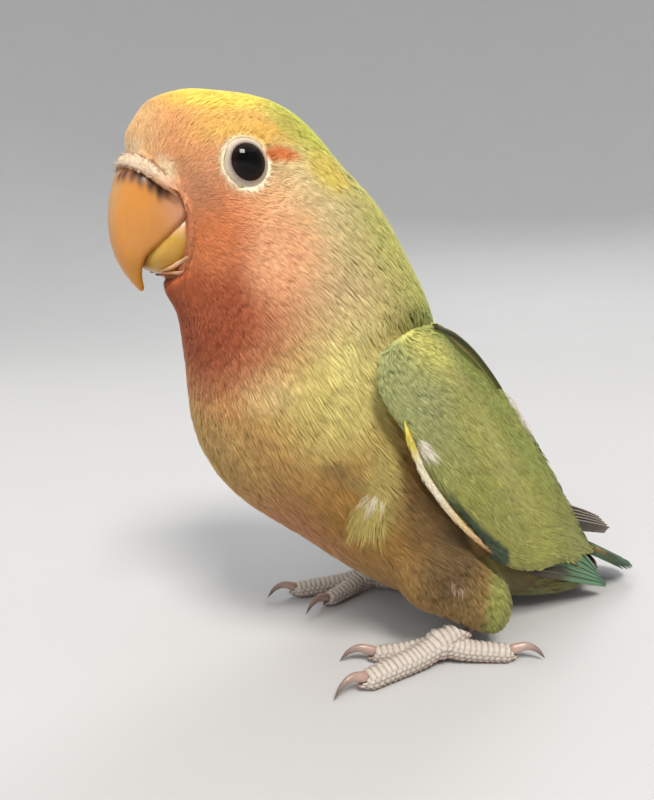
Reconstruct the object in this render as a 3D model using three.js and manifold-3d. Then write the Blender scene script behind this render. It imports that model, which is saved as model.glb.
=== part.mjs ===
// A young peach-faced lovebird, standing, life size.
// Millimetres, +Z up. The bird faces -Y, its left side is towards +X, and it stands on the plane Z = 0.
// It is modelled about the point midway between its feet, then moved to stand over the middle of its box.
import * as THREE from "three";
import { mergeVertices } from "three/addons/utils/BufferGeometryUtils.js";
import Module from "manifold-3d";

const wasm = await Module();
wasm.setup();

// Driving dimensions
const GAP = 0.3; // between neighbouring pieces
const BODY_BLEND = 2.6; // how softly the masses of the body run into each other
const LEG_BLEND = 1.2;

const HEAD_CENTRE = [-4.2, -28, 75.1]; // between the eyes
const HEAD_TURN = 13; // degrees, towards the bird's left
const HEAD_NOD = 2; // degrees, bill upwards

const EYE_RADIUS = 3.5;
const EYE_OUT = 9.35; // from the head's middle to the eyeball's centre
const EYE_FORWARD = 2.9;
const EYE_DOWN = 0.1;

const FOOT_SPREAD = 13.6; // from the middle to each foot
const ANKLE_HEIGHT = 3;
const TOE_THICKNESS = 3.7; // of the stoutest toe, at its root
const CLAW_LENGTH = 4.7;
const CLAW_RADIUS = 1.15;

const WING_ARCH = 1.8; // how far the middle of the wing stands proud of the body
const WING_EDGE = 1.7; // how far its leading edge does, over that
const WING_PLATE = 0.8; // its thickness where it is clear of the body
const WING_LIFT = { left: 0, right: 3.5 }; // degrees, the left wing hangs a little
const WINGTIP = { left: [7, 43, 2.4], right: [6, 55, 8] };
const PRIMARIES_HALF_WIDTH = 4.2;

const TAIL_ROOT = [0.2, 27, 14.8];
const TAIL_TIP = [0.8, 54.5, 2];
const TAIL_HALF_WIDTH = 8.2;
const TAIL_ARCH = 1.6;

const COLOURS = {
  peach: 0xd9895f,
  breast: 0xc9b56a,
  leg: 0x93a552,
  wing: 0x7f9347,
  primaries: 0x5f9484,
  tail: 0x4f7f58,
  upperBill: 0xd99a52,
  lowerBill: 0xc9a23c,
  eye: 0x0b0807,
  scales: 0xbdb6a8,
  claw: 0xb8968a,
};

const SIDES = { left: 1, right: -1 };
const X_AXIS = new THREE.Vector3(1, 0, 0);
const { degToRad, lerp } = THREE.MathUtils;
const vec = (p) => new THREE.Vector3(...p);
const onSide = (p, side) => vec([p[0] * side, p[1], p[2]]);
const count = (n, make) => Array.from({ length: n }, (_, i) => make(i));

// The head's own frame: X to its left, -Y along the bill, from the point between the eyes.
const headFrame = new THREE.Matrix4()
  .makeRotationFromEuler(new THREE.Euler(degToRad(HEAD_NOD), 0, degToRad(HEAD_TURN), "ZYX"))
  .setPosition(...HEAD_CENTRE);
const onHead = (p) => vec(p).applyMatrix4(headFrame);

// Masses: ellipsoids whose surfaces run into each other

function mass(centre, radii, { tilt = 0, frame = new THREE.Matrix4() } = {}) {
  const place = new THREE.Matrix4().makeRotationX(degToRad(tilt)).setPosition(...centre);
  return { inverse: place.premultiply(frame).invert(), radii };
}

// Roughly the distance from a point to a mass, negative inside.
function distanceTo({ inverse, radii: [a, b, c] }, point) {
  const p = point.clone().applyMatrix4(inverse);
  const near = Math.hypot(p.x / a, p.y / b, p.z / c);
  const slope = Math.hypot(p.x / a ** 2, p.y / b ** 2, p.z / c ** 2);
  return near < 1e-6 ? -Math.min(a, b, c) : (near * (near - 1)) / slope;
}

// The distance to a form made of masses that blend.
const blended = (masses, softness) => (point) =>
  -softness * Math.log(masses.reduce((sum, m) => sum + Math.exp(-distanceTo(m, point) / softness), 0));

const headMass = (centre, radii) => mass(centre, radii, { frame: headFrame });

const bodyForm = blended(
  [
    headMass([0, 3.2, 0.6], [11.7, 12.3, 11.4]), // skull
    headMass([0, -7.5, 3.2], [8.4, 8.1, 7.8]), // forehead
    headMass([4.6, 3.2, -6.5], [7.8, 9, 7.8]), // left cheek
    headMass([-4.6, 3.2, -6.5], [7.8, 9, 7.8]), // right cheek
    headMass([0, -2, -12], [7, 6.5, 6.5]), // chin
    mass([-3, -17, 63.5], [14.5, 15, 14]), // upper neck
    mass([-2, -16, 53.5], [16.5, 19.5, 14]), // lower neck
    mass([-1, -15, 41], [18.5, 20.8, 19.8]), // breast
    mass([0, -3.6, 28.5], [17, 20.5, 16.5], { tilt: -36 }), // chest and back
    mass([0, 6.5, 17.5], [14, 18.5, 12.8], { tilt: -33 }), // belly
    mass([0, 23.5, 12.5], [10.5, 14, 8], { tilt: -32 }), // rump
    mass([0.5, 33, 7], [7.5, 12, 4], { tilt: -12 }), // under the tail
  ],
  BODY_BLEND,
);

const BODY_SPINE = [
  [0.3, 36, 8.5],
  [0, 24, 15],
  [0, 8, 28],
  [-0.5, -6, 42],
  [-2, -17, 58],
  [-4, -25, 70],
  [-4.2, -27.5, 79],
];

const legForm = (side) =>
  blended(
    [
      mass([11.2 * side, 0.5, 16], [6.2, 8, 9]), // thigh
      mass([13.2 * side, 5.5, 11], [4.6, 5.4, 6]), // shin
      mass([14.4 * side, 9, 8], [3.6, 3.8, 5]), // heel
    ],
    LEG_BLEND,
  );

const LEG_SPINE = [
  [11.4, 0.5, 17],
  [13, 5.2, 12],
  [14.3, 8.8, 8.2],
];

// Surfaces

// Walks out from a point inside a form to where the form's distance reaches a level.
function surfacePoint(form, from, direction, level) {
  const at = (r) => from.clone().addScaledVector(direction, r);
  const step = 0.5;
  let outside = step;
  while (form(at(outside)) < level) outside += step;
  let inside = outside - step;
  for (let i = 0; i < 12; i++) {
    const middle = (inside + outside) / 2;
    if (form(at(middle)) < level) inside = middle;
    else outside = middle;
  }
  return at(outside);
}

// Closes a stack of rings, all with the same number of points, with a point at each end.
function closedRings(rings, first, last) {
  const sides = rings[0].length;
  const points = [first, ...rings.flat(), last];
  const at = (ring, side) => 1 + ring * sides + (side % sides);
  const end = rings.length - 1;
  const index = [];
  for (let side = 0; side < sides; side++) {
    index.push(0, at(0, side + 1), at(0, side));
    index.push(points.length - 1, at(end, side), at(end, side + 1));
    for (let ring = 0; ring < end; ring++) {
      index.push(at(ring, side), at(ring, side + 1), at(ring + 1, side + 1));
      index.push(at(ring, side), at(ring + 1, side + 1), at(ring + 1, side));
    }
  }
  const positions = new Float32Array(points.flatMap((p) => p.toArray()));
  return new THREE.BufferGeometry()
    .setAttribute("position", new THREE.BufferAttribute(positions, 3))
    .setIndex(index);
}

// The skin of a form round a spine that runs inside it, domed at both ends.
function wrap(form, spine, level, { stations, sides, dome }) {
  const ringAt = (t, pitch) => {
    const along = spine.getTangentAt(t);
    const across = X_AXIS.clone().addScaledVector(along, -along.x).normalize();
    const over = along.clone().cross(across);
    return count(sides, (k) => {
      const angle = (2 * Math.PI * k) / sides;
      const outward = along
        .clone()
        .multiplyScalar(Math.sin(pitch))
        .addScaledVector(across, Math.cos(angle) * Math.cos(pitch))
        .addScaledVector(over, Math.sin(angle) * Math.cos(pitch));
      return surfacePoint(form, spine.getPointAt(t), outward, level);
    });
  };
  const rings = [];
  for (let i = 1; i < dome; i++) rings.push(ringAt(0, (Math.PI / 2) * (i / dome - 1)));
  for (let i = 0; i <= stations; i++) rings.push(ringAt(i / stations, 0));
  for (let i = 1; i < dome; i++) rings.push(ringAt(1, (Math.PI / 2) * (i / dome)));
  const first = surfacePoint(form, spine.getPointAt(0), spine.getTangentAt(0).negate(), level);
  const last = surfacePoint(form, spine.getPointAt(1), spine.getTangentAt(1), level);
  return closedRings(rings, first, last);
}

// A round bar along a curve, its radius a function of the way along it.
function bar(points, radiusAt, steps, sides) {
  const curve = new THREE.CatmullRomCurve3(points);
  const rings = count(steps + 1, (i) => {
    const t = i / steps;
    const along = curve.getTangentAt(t);
    const across = new THREE.Vector3(-along.y, along.x, 0).normalize();
    const over = along.clone().cross(across);
    return count(sides, (k) => {
      const angle = (2 * Math.PI * k) / sides;
      return curve
        .getPointAt(t)
        .addScaledVector(across, radiusAt(t) * Math.cos(angle))
        .addScaledVector(over, radiusAt(t) * Math.sin(angle));
    });
  });
  const first = curve.getPointAt(0).addScaledVector(curve.getTangentAt(0), -0.45 * radiusAt(0));
  const last = curve.getPointAt(1).addScaledVector(curve.getTangentAt(1), 0.35 * radiusAt(1));
  return closedRings(rings, first, last);
}

// A thin arched blade from a root to a tip, facing outward, as the feathers of a tail or a wing's end lie.
function blade(root, tip, outward, { steps, sides, halfWidthAt, halfThickness, arch }) {
  const over = outward.clone().cross(tip.clone().sub(root)).normalize();
  const normal = tip.clone().sub(root).normalize().cross(over);
  const rings = count(steps + 1, (i) => {
    const t = i / steps;
    const thick = lerp(...halfThickness, t);
    return count(sides, (k) => {
      const angle = (2 * Math.PI * k) / sides;
      return root
        .clone()
        .lerp(tip, 0.98 * t)
        .addScaledVector(over, halfWidthAt(t) * Math.cos(angle))
        .addScaledVector(normal, thick * Math.sin(angle) + arch * Math.sin(angle) ** 2);
    });
  });
  return closedRings(rings, root, tip);
}

// Solids

function solid(geometry) {
  const bare = geometry.clone();
  bare.deleteAttribute("normal");
  bare.deleteAttribute("uv");
  const merged = mergeVertices(bare, 1e-4);
  return new wasm.Manifold(
    new wasm.Mesh({
      numProp: 3,
      vertProperties: new Float32Array(merged.attributes.position.array),
      triVerts: new Uint32Array(merged.index.array),
    }),
  );
}

function geometryOf(made) {
  const { numProp, numVert, vertProperties, triVerts } = made.getMesh();
  const positions = new Float32Array(numVert * 3);
  for (let i = 0; i < numVert; i++) {
    positions.set(vertProperties.subarray(i * numProp, i * numProp + 3), i * 3);
  }
  return new THREE.BufferGeometry()
    .setAttribute("position", new THREE.BufferAttribute(positions, 3))
    .setIndex(new THREE.BufferAttribute(new Uint32Array(triVerts), 1))
    .toNonIndexed();
}

function slab(size, centre, turn = [0, 0, 0]) {
  const place = new THREE.Matrix4().makeRotationFromEuler(new THREE.Euler(...turn.map(degToRad)));
  return solid(new THREE.BoxGeometry(...size).applyMatrix4(place.setPosition(...centre)));
}

function ball(radius, centre, segments) {
  const geometry = new THREE.SphereGeometry(radius, segments, Math.round(segments * 0.7));
  return solid(geometry.translate(...centre.toArray()));
}

// The largest piece that a cut leaves.
const largest = (made) => made.decompose().reduce((a, b) => (b.volume() > a.volume() ? b : a));

const cutBy = (made, cutters) => largest(cutters.reduce((rest, cutter) => rest.subtract(cutter), made));

const underFloor = slab([200, 200, 20], [0, 0, -10]);

// Body: one form, parted into trunk, neck and head by thin cuts

const bodySpine = new THREE.CatmullRomCurve3(BODY_SPINE.map(vec));
const bodyAt = (level) => solid(wrap(bodyForm, bodySpine, level, { stations: 23, sides: 26, dome: 5 }));
const body = bodyAt(0);
const roundBody = bodyAt(GAP);

const eyeball = (side, grow = 0) =>
  ball(EYE_RADIUS + grow, onHead([side * EYE_OUT, -EYE_FORWARD, -EYE_DOWN]), 14);

// Bill: a hooked upper half over a scoop-shaped lower half. Each station, from the root out, gives the
// ridge and the cutting edges as [Y, Z] in the head's frame, and half the width there.

const UPPER_BILL = [
  { ridge: [-10, 1.5], edge: [-3, -4.5], half: 5.4 },
  { ridge: [-14.6, 1.6], edge: [-6.2, -4.6], half: 5.8 },
  { ridge: [-17.2, -0.4], edge: [-9.2, -6], half: 5.6 },
  { ridge: [-18.5, -4.6], edge: [-11.6, -8.6], half: 4.9 },
  { ridge: [-18.7, -8.6], edge: [-13.4, -10.8], half: 3.9 },
  { ridge: [-18, -11.8], edge: [-14.2, -12.7], half: 2.7 },
  { ridge: [-16.5, -14.6], edge: [-14.4, -14.4], half: 1.5 },
  { ridge: [-14.9, -16.5], edge: [-14.3, -16.2], half: 0.5 },
];
const LOWER_BILL = [
  { ridge: [-3, -12], edge: [-3, -6], half: 4.9 },
  { ridge: [-7, -13.9], edge: [-6.5, -6.6], half: 5.2 },
  { ridge: [-10.3, -14.4], edge: [-9.8, -8.4], half: 4.9 },
  { ridge: [-12.6, -14], edge: [-12.4, -10.6], half: 3.9 },
  { ridge: [-13.9, -13.2], edge: [-13.8, -12], half: 2.4 },
];

function billHalf(stations, grow = 0) {
  const curveOf = (pick) => new THREE.CatmullRomCurve3(stations.map((station) => vec(pick(station))));
  const ridge = curveOf((station) => [0, ...station.ridge]);
  const edge = curveOf((station) => [0, ...station.edge]);
  const half = curveOf((station) => [station.half, 0, 0]);
  const hand = stations[0].ridge[1] > stations[0].edge[1] ? 1 : -1;
  const steps = 10;
  const arc = 8;
  const floorPoints = 3;
  const roundness = 0.85;
  const rings = count(steps + 1, (i) => {
    const t = i / steps;
    const width = half.getPoint(t).x + grow;
    const foot = edge.getPoint(t);
    const rise = ridge.getPoint(t).sub(foot);
    const height = rise.length() + grow;
    const at = (x, h) => onHead(foot.clone().addScaledVector(rise.clone().normalize(), h).setX(hand * x).toArray());
    const over = count(arc + 1, (k) => {
      const angle = (Math.PI * k) / arc;
      const along = Math.cos(angle);
      return at(width * Math.sign(along) * Math.abs(along) ** roundness, height * Math.sin(angle) ** roundness);
    });
    const under = count(floorPoints, (k) => at(width * ((k + 1) / 2 - 1), -0.35 - grow));
    return [...over, ...under];
  });
  const middle = (ring) => ring.reduce((sum, p) => sum.add(p), vec([0, 0, 0])).divideScalar(ring.length);
  return solid(closedRings(rings, middle(rings[0]), middle(rings[steps])));
}

// Wings: a plate between its leading edge and its edge along the back, pushed out until it clears the body

const WING_LEADING = [
  [14, -10.5, 52],
  [17.5, -14.6, 48.5],
  [19.3, -13.5, 43.5],
  [19.3, -9.3, 38.5],
  [18.8, -4.8, 32],
  [17.5, 2.5, 24.2],
  [15.5, 9.9, 16.4],
  [10.5, 25, 11.2],
  [5, 40, 9.6],
];
const WING_BACK = [
  [14, -10.5, 52],
  [12.3, -4.5, 53.3],
  [8, 4, 51.5],
  [4.5, 15, 43.5],
  [3.2, 26, 31],
  [3.6, 34.5, 18.5],
  [5, 40, 9.6],
];
const WING_OUTWARD = [0.9, 0.1, 0.42];

// Pushes a point outward until it stands clear of the body by a depth.
function clearOfBody(p, outward, depth) {
  for (let i = 0; i < 12; i++) p.addScaledVector(outward, 0.7 * Math.max(0, depth - bodyForm(p)));
  return p;
}

function wing(name, grow = 0) {
  const side = SIDES[name];
  const shoulder = onSide(WING_LEADING[0], side);
  const outward = onSide(WING_OUTWARD, side).normalize();
  const lifted = (p) =>
    onSide(p, side).sub(shoulder).applyAxisAngle(X_AXIS, degToRad(WING_LIFT[name])).add(shoulder);
  const leading = new THREE.CatmullRomCurve3(WING_LEADING.map(lifted));
  const back = new THREE.CatmullRomCurve3(WING_BACK.map(lifted));
  const spans = 17;
  const rows = 6;
  const rings = count(spans - 1, (i) => {
    const t = (i + 1) / spans;
    const low = leading.getPointAt(t);
    const high = back.getPointAt(t);
    const margin = grow / low.distanceTo(high);
    const swell = Math.sqrt(Math.min(1, 4 * t));
    const outer = [];
    const inner = [];
    for (let row = 0; row <= rows; row++) {
      const u = row / rows;
      const proud = 0.4 + WING_ARCH * Math.sin(Math.PI * u) + WING_EDGE * (1 - u) ** 2;
      const depth = lerp(proud * swell, 0.6, t * t);
      const p = clearOfBody(low.clone().lerp(high, lerp(-margin, 1 + margin, u)), outward, depth);
      const clear = Math.max(0, bodyForm(p) - depth);
      const thickness = Math.max(WING_PLATE, depth + 1.2 - clear);
      outer.push(p.clone().addScaledVector(outward, grow));
      inner.push(p.clone().addScaledVector(outward, -thickness - grow));
    }
    return side < 0 ? [...outer, ...inner.toReversed()] : [...outer.toReversed(), ...inner];
  });
  const length = leading.getPoint(1).sub(leading.getPoint(0)).normalize();
  const front = leading.getPoint(0).addScaledVector(length, -grow);
  const end = leading.getPoint(1).addScaledVector(length, grow);
  return solid(closedRings(rings, front, end));
}

// The longest feathers of the folded wing run out from under it.
function primaries(name) {
  const side = SIDES[name];
  const root = onSide([7.6, 29, 14 + 0.8 * WING_LIFT[name]], side);
  return solid(
    blade(root, onSide(WINGTIP[name], side), onSide([0.86, 0.1, 0.5], side), {
      steps: 8,
      sides: 10,
      halfWidthAt: (t) => PRIMARIES_HALF_WIDTH * Math.sqrt(1 - 0.97 * t ** 1.6),
      halfThickness: [0.75, 0.35],
      arch: 0.8,
    }),
  );
}

// Tail: a flat fan of feathers, in one piece, with a rounded end
function tail() {
  return solid(
    blade(vec(TAIL_ROOT), vec(TAIL_TIP), new THREE.Vector3(0, 0, 1), {
      steps: 9,
      sides: 14,
      halfWidthAt: (t) => TAIL_HALF_WIDTH * Math.sqrt(1 - 0.97 * Math.max(0, (t - 0.45) / 0.55) ** 2.2),
      halfThickness: [2.4, 0.6],
      arch: TAIL_ARCH,
    }),
  );
}

// Legs and feet: two toes forward and two back, each with its claw, flat underneath where they stand

const TOES = [
  { name: "inner_front", reach: [-4, -10.5], stoutness: 0.88 },
  { name: "outer_front", reach: [2.4, -15], stoutness: 1 },
  { name: "outer_back", reach: [4.5, 11.5], stoutness: 0.92 },
  { name: "inner_back", reach: [-3.2, 7.8], stoutness: 0.82 },
];

function foot(side) {
  const ankle = [FOOT_SPREAD * side, 0, ANKLE_HEIGHT];
  const shank = [vec(ankle), onSide([13.8, 4, 5], side), onSide([14.2, 8.5, 7.5], side)];
  let made = solid(bar(shank, () => 1.8, 3, 8)).add(ball(2.4, vec(ankle), 8));
  const claws = TOES.map(({ name, reach: [dx, dy], stoutness }) => {
    const radius = (TOE_THICKNESS / 2) * stoutness;
    const length = Math.hypot(dx, dy);
    const at = (distance, height) => {
      const t = distance / length;
      return vec([ankle[0] + side * dx * t, ankle[1] + dy * t, height]);
    };
    const toe = [vec(ankle), at(0.3 * length, 2), at(0.65 * length, 0.92 * radius), at(length, 0.72 * radius)];
    made = made.add(solid(bar(toe, (t) => radius * (1.04 - 0.2 * t), 4, 8)));
    const claw = [
      at(length - 0.6, 1.1 * radius),
      at(length + 0.35 * CLAW_LENGTH, 1.55 * radius),
      at(length + 0.75 * CLAW_LENGTH, radius),
      at(length + CLAW_LENGTH, 0.45),
    ];
    const clawAt = (grow) => solid(bar(claw, (t) => CLAW_RADIUS - 0.95 * t + grow, 4, 7));
    return { name, made: clawAt(0), room: clawAt(GAP) };
  });
  return { made: made.subtract(underFloor), claws };
}

// Assembly

const bird = new THREE.Group();

function add(name, made, colour, roughness) {
  const material = new THREE.MeshStandardMaterial({ color: COLOURS[colour], roughness, metalness: 0 });
  const mesh = new THREE.Mesh(geometryOf(made), material);
  mesh.name = name;
  bird.add(mesh);
}

const headCut = slab([90, 90, GAP], [-3, -24, 66.5], [37, 0, 8]);
const neckCut = slab([90, 90, GAP], [0, -33, 43], [27, 0, 0]);
const upperRoom = billHalf(UPPER_BILL, GAP);
const lowerRoom = billHalf(LOWER_BILL, GAP);
const [trunk, neck, head] = [eyeball(1, GAP), eyeball(-1, GAP), upperRoom, lowerRoom, headCut, neckCut]
  .reduce((rest, cutter) => rest.subtract(cutter), body)
  .decompose()
  .filter((piece) => piece.volume() > 50)
  .sort((a, b) => a.boundingBox().max[2] - b.boundingBox().max[2]);
add("head", head, "peach", 0.8);
add("neck", neck, "peach", 0.8);
add("trunk", trunk, "breast", 0.8);
add("bill_upper", billHalf(UPPER_BILL), "upperBill", 0.35);
add("bill_lower", cutBy(billHalf(LOWER_BILL), [upperRoom]), "lowerBill", 0.4);

const wingRoom = { left: wing("left", GAP), right: wing("right", GAP) };
const tailRoom = [-1, 0, 1].map((up) => tail().translate([0, 0.5 * GAP * up, GAP * up]));
add("tail", cutBy(tail(), [roundBody, wingRoom.left, wingRoom.right]), "tail", 0.7);

for (const [name, side] of Object.entries(SIDES)) {
  add("eye_" + name, eyeball(side), "eye", 0.05);
  add("wing_" + name, cutBy(wing(name), [roundBody]), "wing", 0.7);
  add("primaries_" + name, cutBy(primaries(name), [roundBody, wingRoom[name], ...tailRoom]), "primaries", 0.6);

  const legSpine = new THREE.CatmullRomCurve3(LEG_SPINE.map((p) => onSide(p, side)));
  const legAt = (level) => solid(wrap(legForm(side), legSpine, level, { stations: 6, sides: 14, dome: 4 }));
  add("leg_" + name, cutBy(legAt(0), [roundBody, wingRoom[name]]), "leg", 0.8);

  const { made, claws } = foot(side);
  add("foot_" + name, cutBy(made, [legAt(GAP), roundBody, ...claws.map(({ room }) => room)]), "scales", 0.6);
  for (const claw of claws) add(`claw_${name}_${claw.name}`, cutBy(claw.made, [underFloor]), "claw", 0.4);
}

const middle = new THREE.Box3().setFromObject(bird).getCenter(new THREE.Vector3());
bird.position.set(-middle.x, -middle.y, 0);

export default bird;
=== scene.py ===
"""A young peach-faced lovebird, standing, life size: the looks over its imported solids.

Anatomy is given in the bird's own millimetres: X to its left, -Y ahead, Z up, from the point of the
floor midway between its feet. Each piece is moved to the frame's metres as it is finished.
"""

import math

import bmesh
import bpy
import numpy as np
from mathutils import Matrix, Vector
from mathutils.bvhtree import BVHTree


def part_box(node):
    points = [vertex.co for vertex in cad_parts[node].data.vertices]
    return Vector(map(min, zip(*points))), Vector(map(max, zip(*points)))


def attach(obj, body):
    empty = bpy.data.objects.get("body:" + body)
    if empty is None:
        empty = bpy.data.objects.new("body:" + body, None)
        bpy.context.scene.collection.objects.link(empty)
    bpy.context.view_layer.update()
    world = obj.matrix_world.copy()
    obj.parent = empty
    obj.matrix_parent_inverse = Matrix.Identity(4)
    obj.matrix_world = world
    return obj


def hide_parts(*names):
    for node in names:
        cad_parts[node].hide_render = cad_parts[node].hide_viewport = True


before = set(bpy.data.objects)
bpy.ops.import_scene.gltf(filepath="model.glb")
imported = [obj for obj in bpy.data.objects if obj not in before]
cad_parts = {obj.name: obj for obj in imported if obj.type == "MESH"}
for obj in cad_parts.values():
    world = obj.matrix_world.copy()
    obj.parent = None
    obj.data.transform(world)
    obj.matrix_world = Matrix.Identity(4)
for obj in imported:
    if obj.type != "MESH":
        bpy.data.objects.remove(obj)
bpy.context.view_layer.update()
chance = np.random.default_rng(11)

# Measures

HEAD_CENTRE = np.array([-4.2, -28, 75.1])  # between the eyes
HEAD_TURN = 13  # degrees, towards the bird's left
HEAD_NOD = 2
BILL_ROOT = np.array([0, -13, -4])  # on the head, where the coat parts round the bill
EYE_CENTRE = np.array([9.35, -2.9, 0.1])  # on the head, left
EYE_RADIUS = 3.5
EYE_AXIS = np.array([0.9945, -0.1045, 0])  # where it looks, a little ahead of straight out
LID_RADIUS = 2.7  # of the ring of the lids, at its middle
LID_OUT = 2.42  # how far out from the eyeball's centre the ring lies
WING_SPREAD = 1.6  # how far the coat reaches out over the wing's back edge
FRONT_SPREAD = 1.0  # and over the middle of its front edge
CHIN = np.array([0, -8.5, -15.6])  # on the head, and how far its coat is filled out
CHIN_FILL = 2.0
GAP_FILL = 0.2  # swells the flesh until its cuts close

BODY_SPINE = [
    (0.3, 36, 8.5), (0, 24, 15), (0, 8, 28), (-0.5, -6, 42), (-2, -17, 58), (-4, -25, 70), (-4.2, -27.5, 79),
]
WING_LEADING = [
    (14, -10.5, 52), (17.5, -14.6, 48.5), (19.3, -13.5, 43.5), (19.3, -9.3, 38.5), (18.8, -4.8, 32),
    (17.5, 2.5, 24.2), (15.5, 9.9, 16.4), (10.5, 25, 11.2), (5, 40, 9.6),
]
WING_BACK = [
    (14, -10.5, 52), (12.3, -4.5, 53.3), (8, 4, 51.5), (4.5, 15, 43.5), (3.2, 26, 31), (3.6, 34.5, 18.5),
    (5, 40, 9.6),
]
WING_LIFT = {"left": 0, "right": 3.5}  # degrees
WING_STRIP = [  # the wing's pale front edge
    (19.9, -10.8, 41), (20.0, -9.6, 37.6), (19.6, -7.6, 33.6), (19.1, -4.5, 29.4), (18.4, -0.4, 24.9),
    (17.4, 4.5, 20.5), (16.4, 8.8, 17.2),
]
SIDES = {"left": 1, "right": -1}
BODY_FLESH = ["head", "neck", "trunk", "leg_left", "leg_right"]
OUTWARD = np.array([0.9, 0.1, 0.42]) / np.linalg.norm([0.9, 0.1, 0.42])  # from the folded left wing

ANKLE = np.array([13.6, 0, 3])
TOES = {  # how far each reaches outward and back, and how stout it is
    "inner_front": ((-4, -10.5), 0.88),
    "outer_front": ((2.4, -15), 1),
    "outer_back": ((4.5, 11.5), 0.92),
    "inner_back": ((-3.2, 7.8), 0.82),
}
TOE_RADIUS = 1.85  # of the stoutest toe
CLAW_LENGTH = 4.7  # beyond the toe's end
ANKLE_BEHIND = 0.00175  # metres from the middle of a foot's box back to its ankle
TAIL_ROOT = np.array([0.2, 27, 14.8])
TAIL_TIP = np.array([0.8, 54.5, 2])

left_foot, right_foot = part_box("foot_left"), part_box("foot_right")
FLOOR_POINT = np.array([
    (left_foot[0].x + right_foot[1].x) / 2,
    (left_foot[0].y + left_foot[1].y) / 2 + ANKLE_BEHIND,
    0,
])
TO_FRAME = Matrix.Translation(FLOOR_POINT) @ Matrix.Scale(0.001, 4)
HEAD = np.array(
    Matrix.Rotation(math.radians(HEAD_TURN), 3, "Z") @ Matrix.Rotation(math.radians(HEAD_NOD), 3, "X")
)


def to_head(points):
    """Points or directions from the bird's frame to the head's own."""
    return (points - HEAD_CENTRE) @ HEAD


def on_head(points):
    """Points given on the head, in the bird's frame."""
    return np.asarray(points, float) @ HEAD.T + HEAD_CENTRE


def unit(vectors):
    """Each vector made one long."""
    return vectors / np.maximum(np.linalg.norm(vectors, axis=-1, keepdims=True), 1e-9)


def ramp(start, end, value):
    """0 at start, 1 at end, easing between."""
    t = np.clip((value - start) / (end - start), 0, 1)
    return t * t * (3 - 2 * t)


def mix(a, b, t):
    """From a, at 0, to b, at 1."""
    return a + (b - a) * t


def curve(points, count):
    """Evenly spaced points on a smooth curve through the given ones."""
    p = np.asarray(points, float)
    p = np.vstack([2 * p[0] - p[1], p, 2 * p[-1] - p[-2]])
    t = np.linspace(0, 1, 24, endpoint=False)[:, None]
    run = [
        0.5 * (2 * b + (c - a) * t + (2 * a - 5 * b + 4 * c - d) * t**2 + (3 * b - a - 3 * c + d) * t**3)
        for a, b, c, d in zip(p, p[1:], p[2:], p[3:])
    ]
    run = np.vstack([*run, p[-2:-1]])
    along = np.concatenate([[0], np.cumsum(np.linalg.norm(np.diff(run, axis=0), axis=1))])
    stops = np.linspace(0, along[-1], count)
    return np.stack([np.interp(stops, along, run[:, k]) for k in range(3)], 1)


SPINE = curve(BODY_SPINE, 100)
SPINE_ALONG = unit(np.gradient(SPINE, axis=0))
SPINE_BACK = unit(np.cross(SPINE_ALONG, [1.0, 0, 0]))  # towards the bird's back
SPINE_BACK *= np.sign(SPINE_BACK[:, 1:2])


def nearest(points, line):
    """For each point, which of the line's is nearest."""
    return ((line**2).sum(1) - 2 * points @ line.T).argmin(1)


def outward(side):
    """The way a folded wing's outer face looks."""
    return OUTWARD * (SIDES[side], 1, 1)


def folded(points, side):
    """Points given on the left wing, moved to where they lie on either folded wing."""
    lift = np.array(Matrix.Rotation(math.radians(WING_LIFT[side]), 3, "X"))
    shoulder = np.array(WING_LEADING[0], float)
    return ((points - shoulder) @ lift.T + shoulder) * (SIDES[side], 1, 1)


def wing_net(side, rows=70, columns=15):
    """Points of a folded wing, rows along it and columns from its leading edge to the back."""
    leading, back = curve(WING_LEADING, rows), curve(WING_BACK, rows)
    return folded(mix(leading[:, None], back[:, None], np.linspace(0, 1, columns)[None, :, None]), side)


WING_NETS = {side: wing_net(side) for side in SIDES}

# Colours


def linear(colour):
    """An sRGB hex colour as linear red, green and blue."""
    value = np.array([int(colour[i : i + 2], 16) / 255 for i in (1, 3, 5)])
    return np.where(value <= 0.04045, value / 12.92, ((value + 0.055) / 1.055) ** 2.4)


# Each patch of the plumage: colour, middle, radii and how softly it ends. On the head they are in its own
# frame, and on both X counts outward from the middle on either side. A few, where noted, are painted light
# and shade.
BODY_PATCHES = [
    ("#b38950", (9, -24, 42), (16, 18, 16), 0.5),  # breast
    ("#c2b16a", (17, -18, 45), (9, 9, 10), 0.6),  # side of the breast
    ("#bb985d", (0, -32, 36), (13, 9, 13), 0.6),  # tan middle of the breast
    ("#b88259", (5, -21, 23), (9, 9, 7), 0.9),  # belly
    ("#a87e3f", (15, -12, 27), (7, 10, 10), 0.5),  # flank
    ("#685234", (17, -0.5, 18.5), (5, 6, 9), 0.6),  # thin coat on the thigh, with painted shade under the wing
    ("#dacd84", (16.5, -13.5, 51), (5, 6, 8), 0.6),  # lighter before the wing's shoulder: painted light against the groove's shade
    ("#cbb67c", (13.8, -28.3, 45.6), (4, 4, 3), 0.8),  # paler below the bib
    ("#937a48", (16.2, -16.3, 32.2), (4, 2.2, 1.0), 0.8),  # painted shadow of the breast's edge on the flank
    ("#8d7242", (16, -18.8, 34.2), (4, 2.2, 1.0), 0.8),
    ("#ae9b5a", (17, -12, 32), (4, 3.2, 10), 0.6),  # lighter flank before the wing
    ("#775b35", (18, -6, 27), (3, 4.5, 9), 0.6),  # painted shade under the wing's front edge
    ("#675a31", (8, 18, 8), (16, 16, 9), 0.6),  # vent
    ("#5f4626", (0, 34, 5), (14, 14, 7), 0.5),  # under the tail
    ("#92924e", (17.5, 10.3, 9), (7, 4.6, 8), 0.25),  # heel
]
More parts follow.
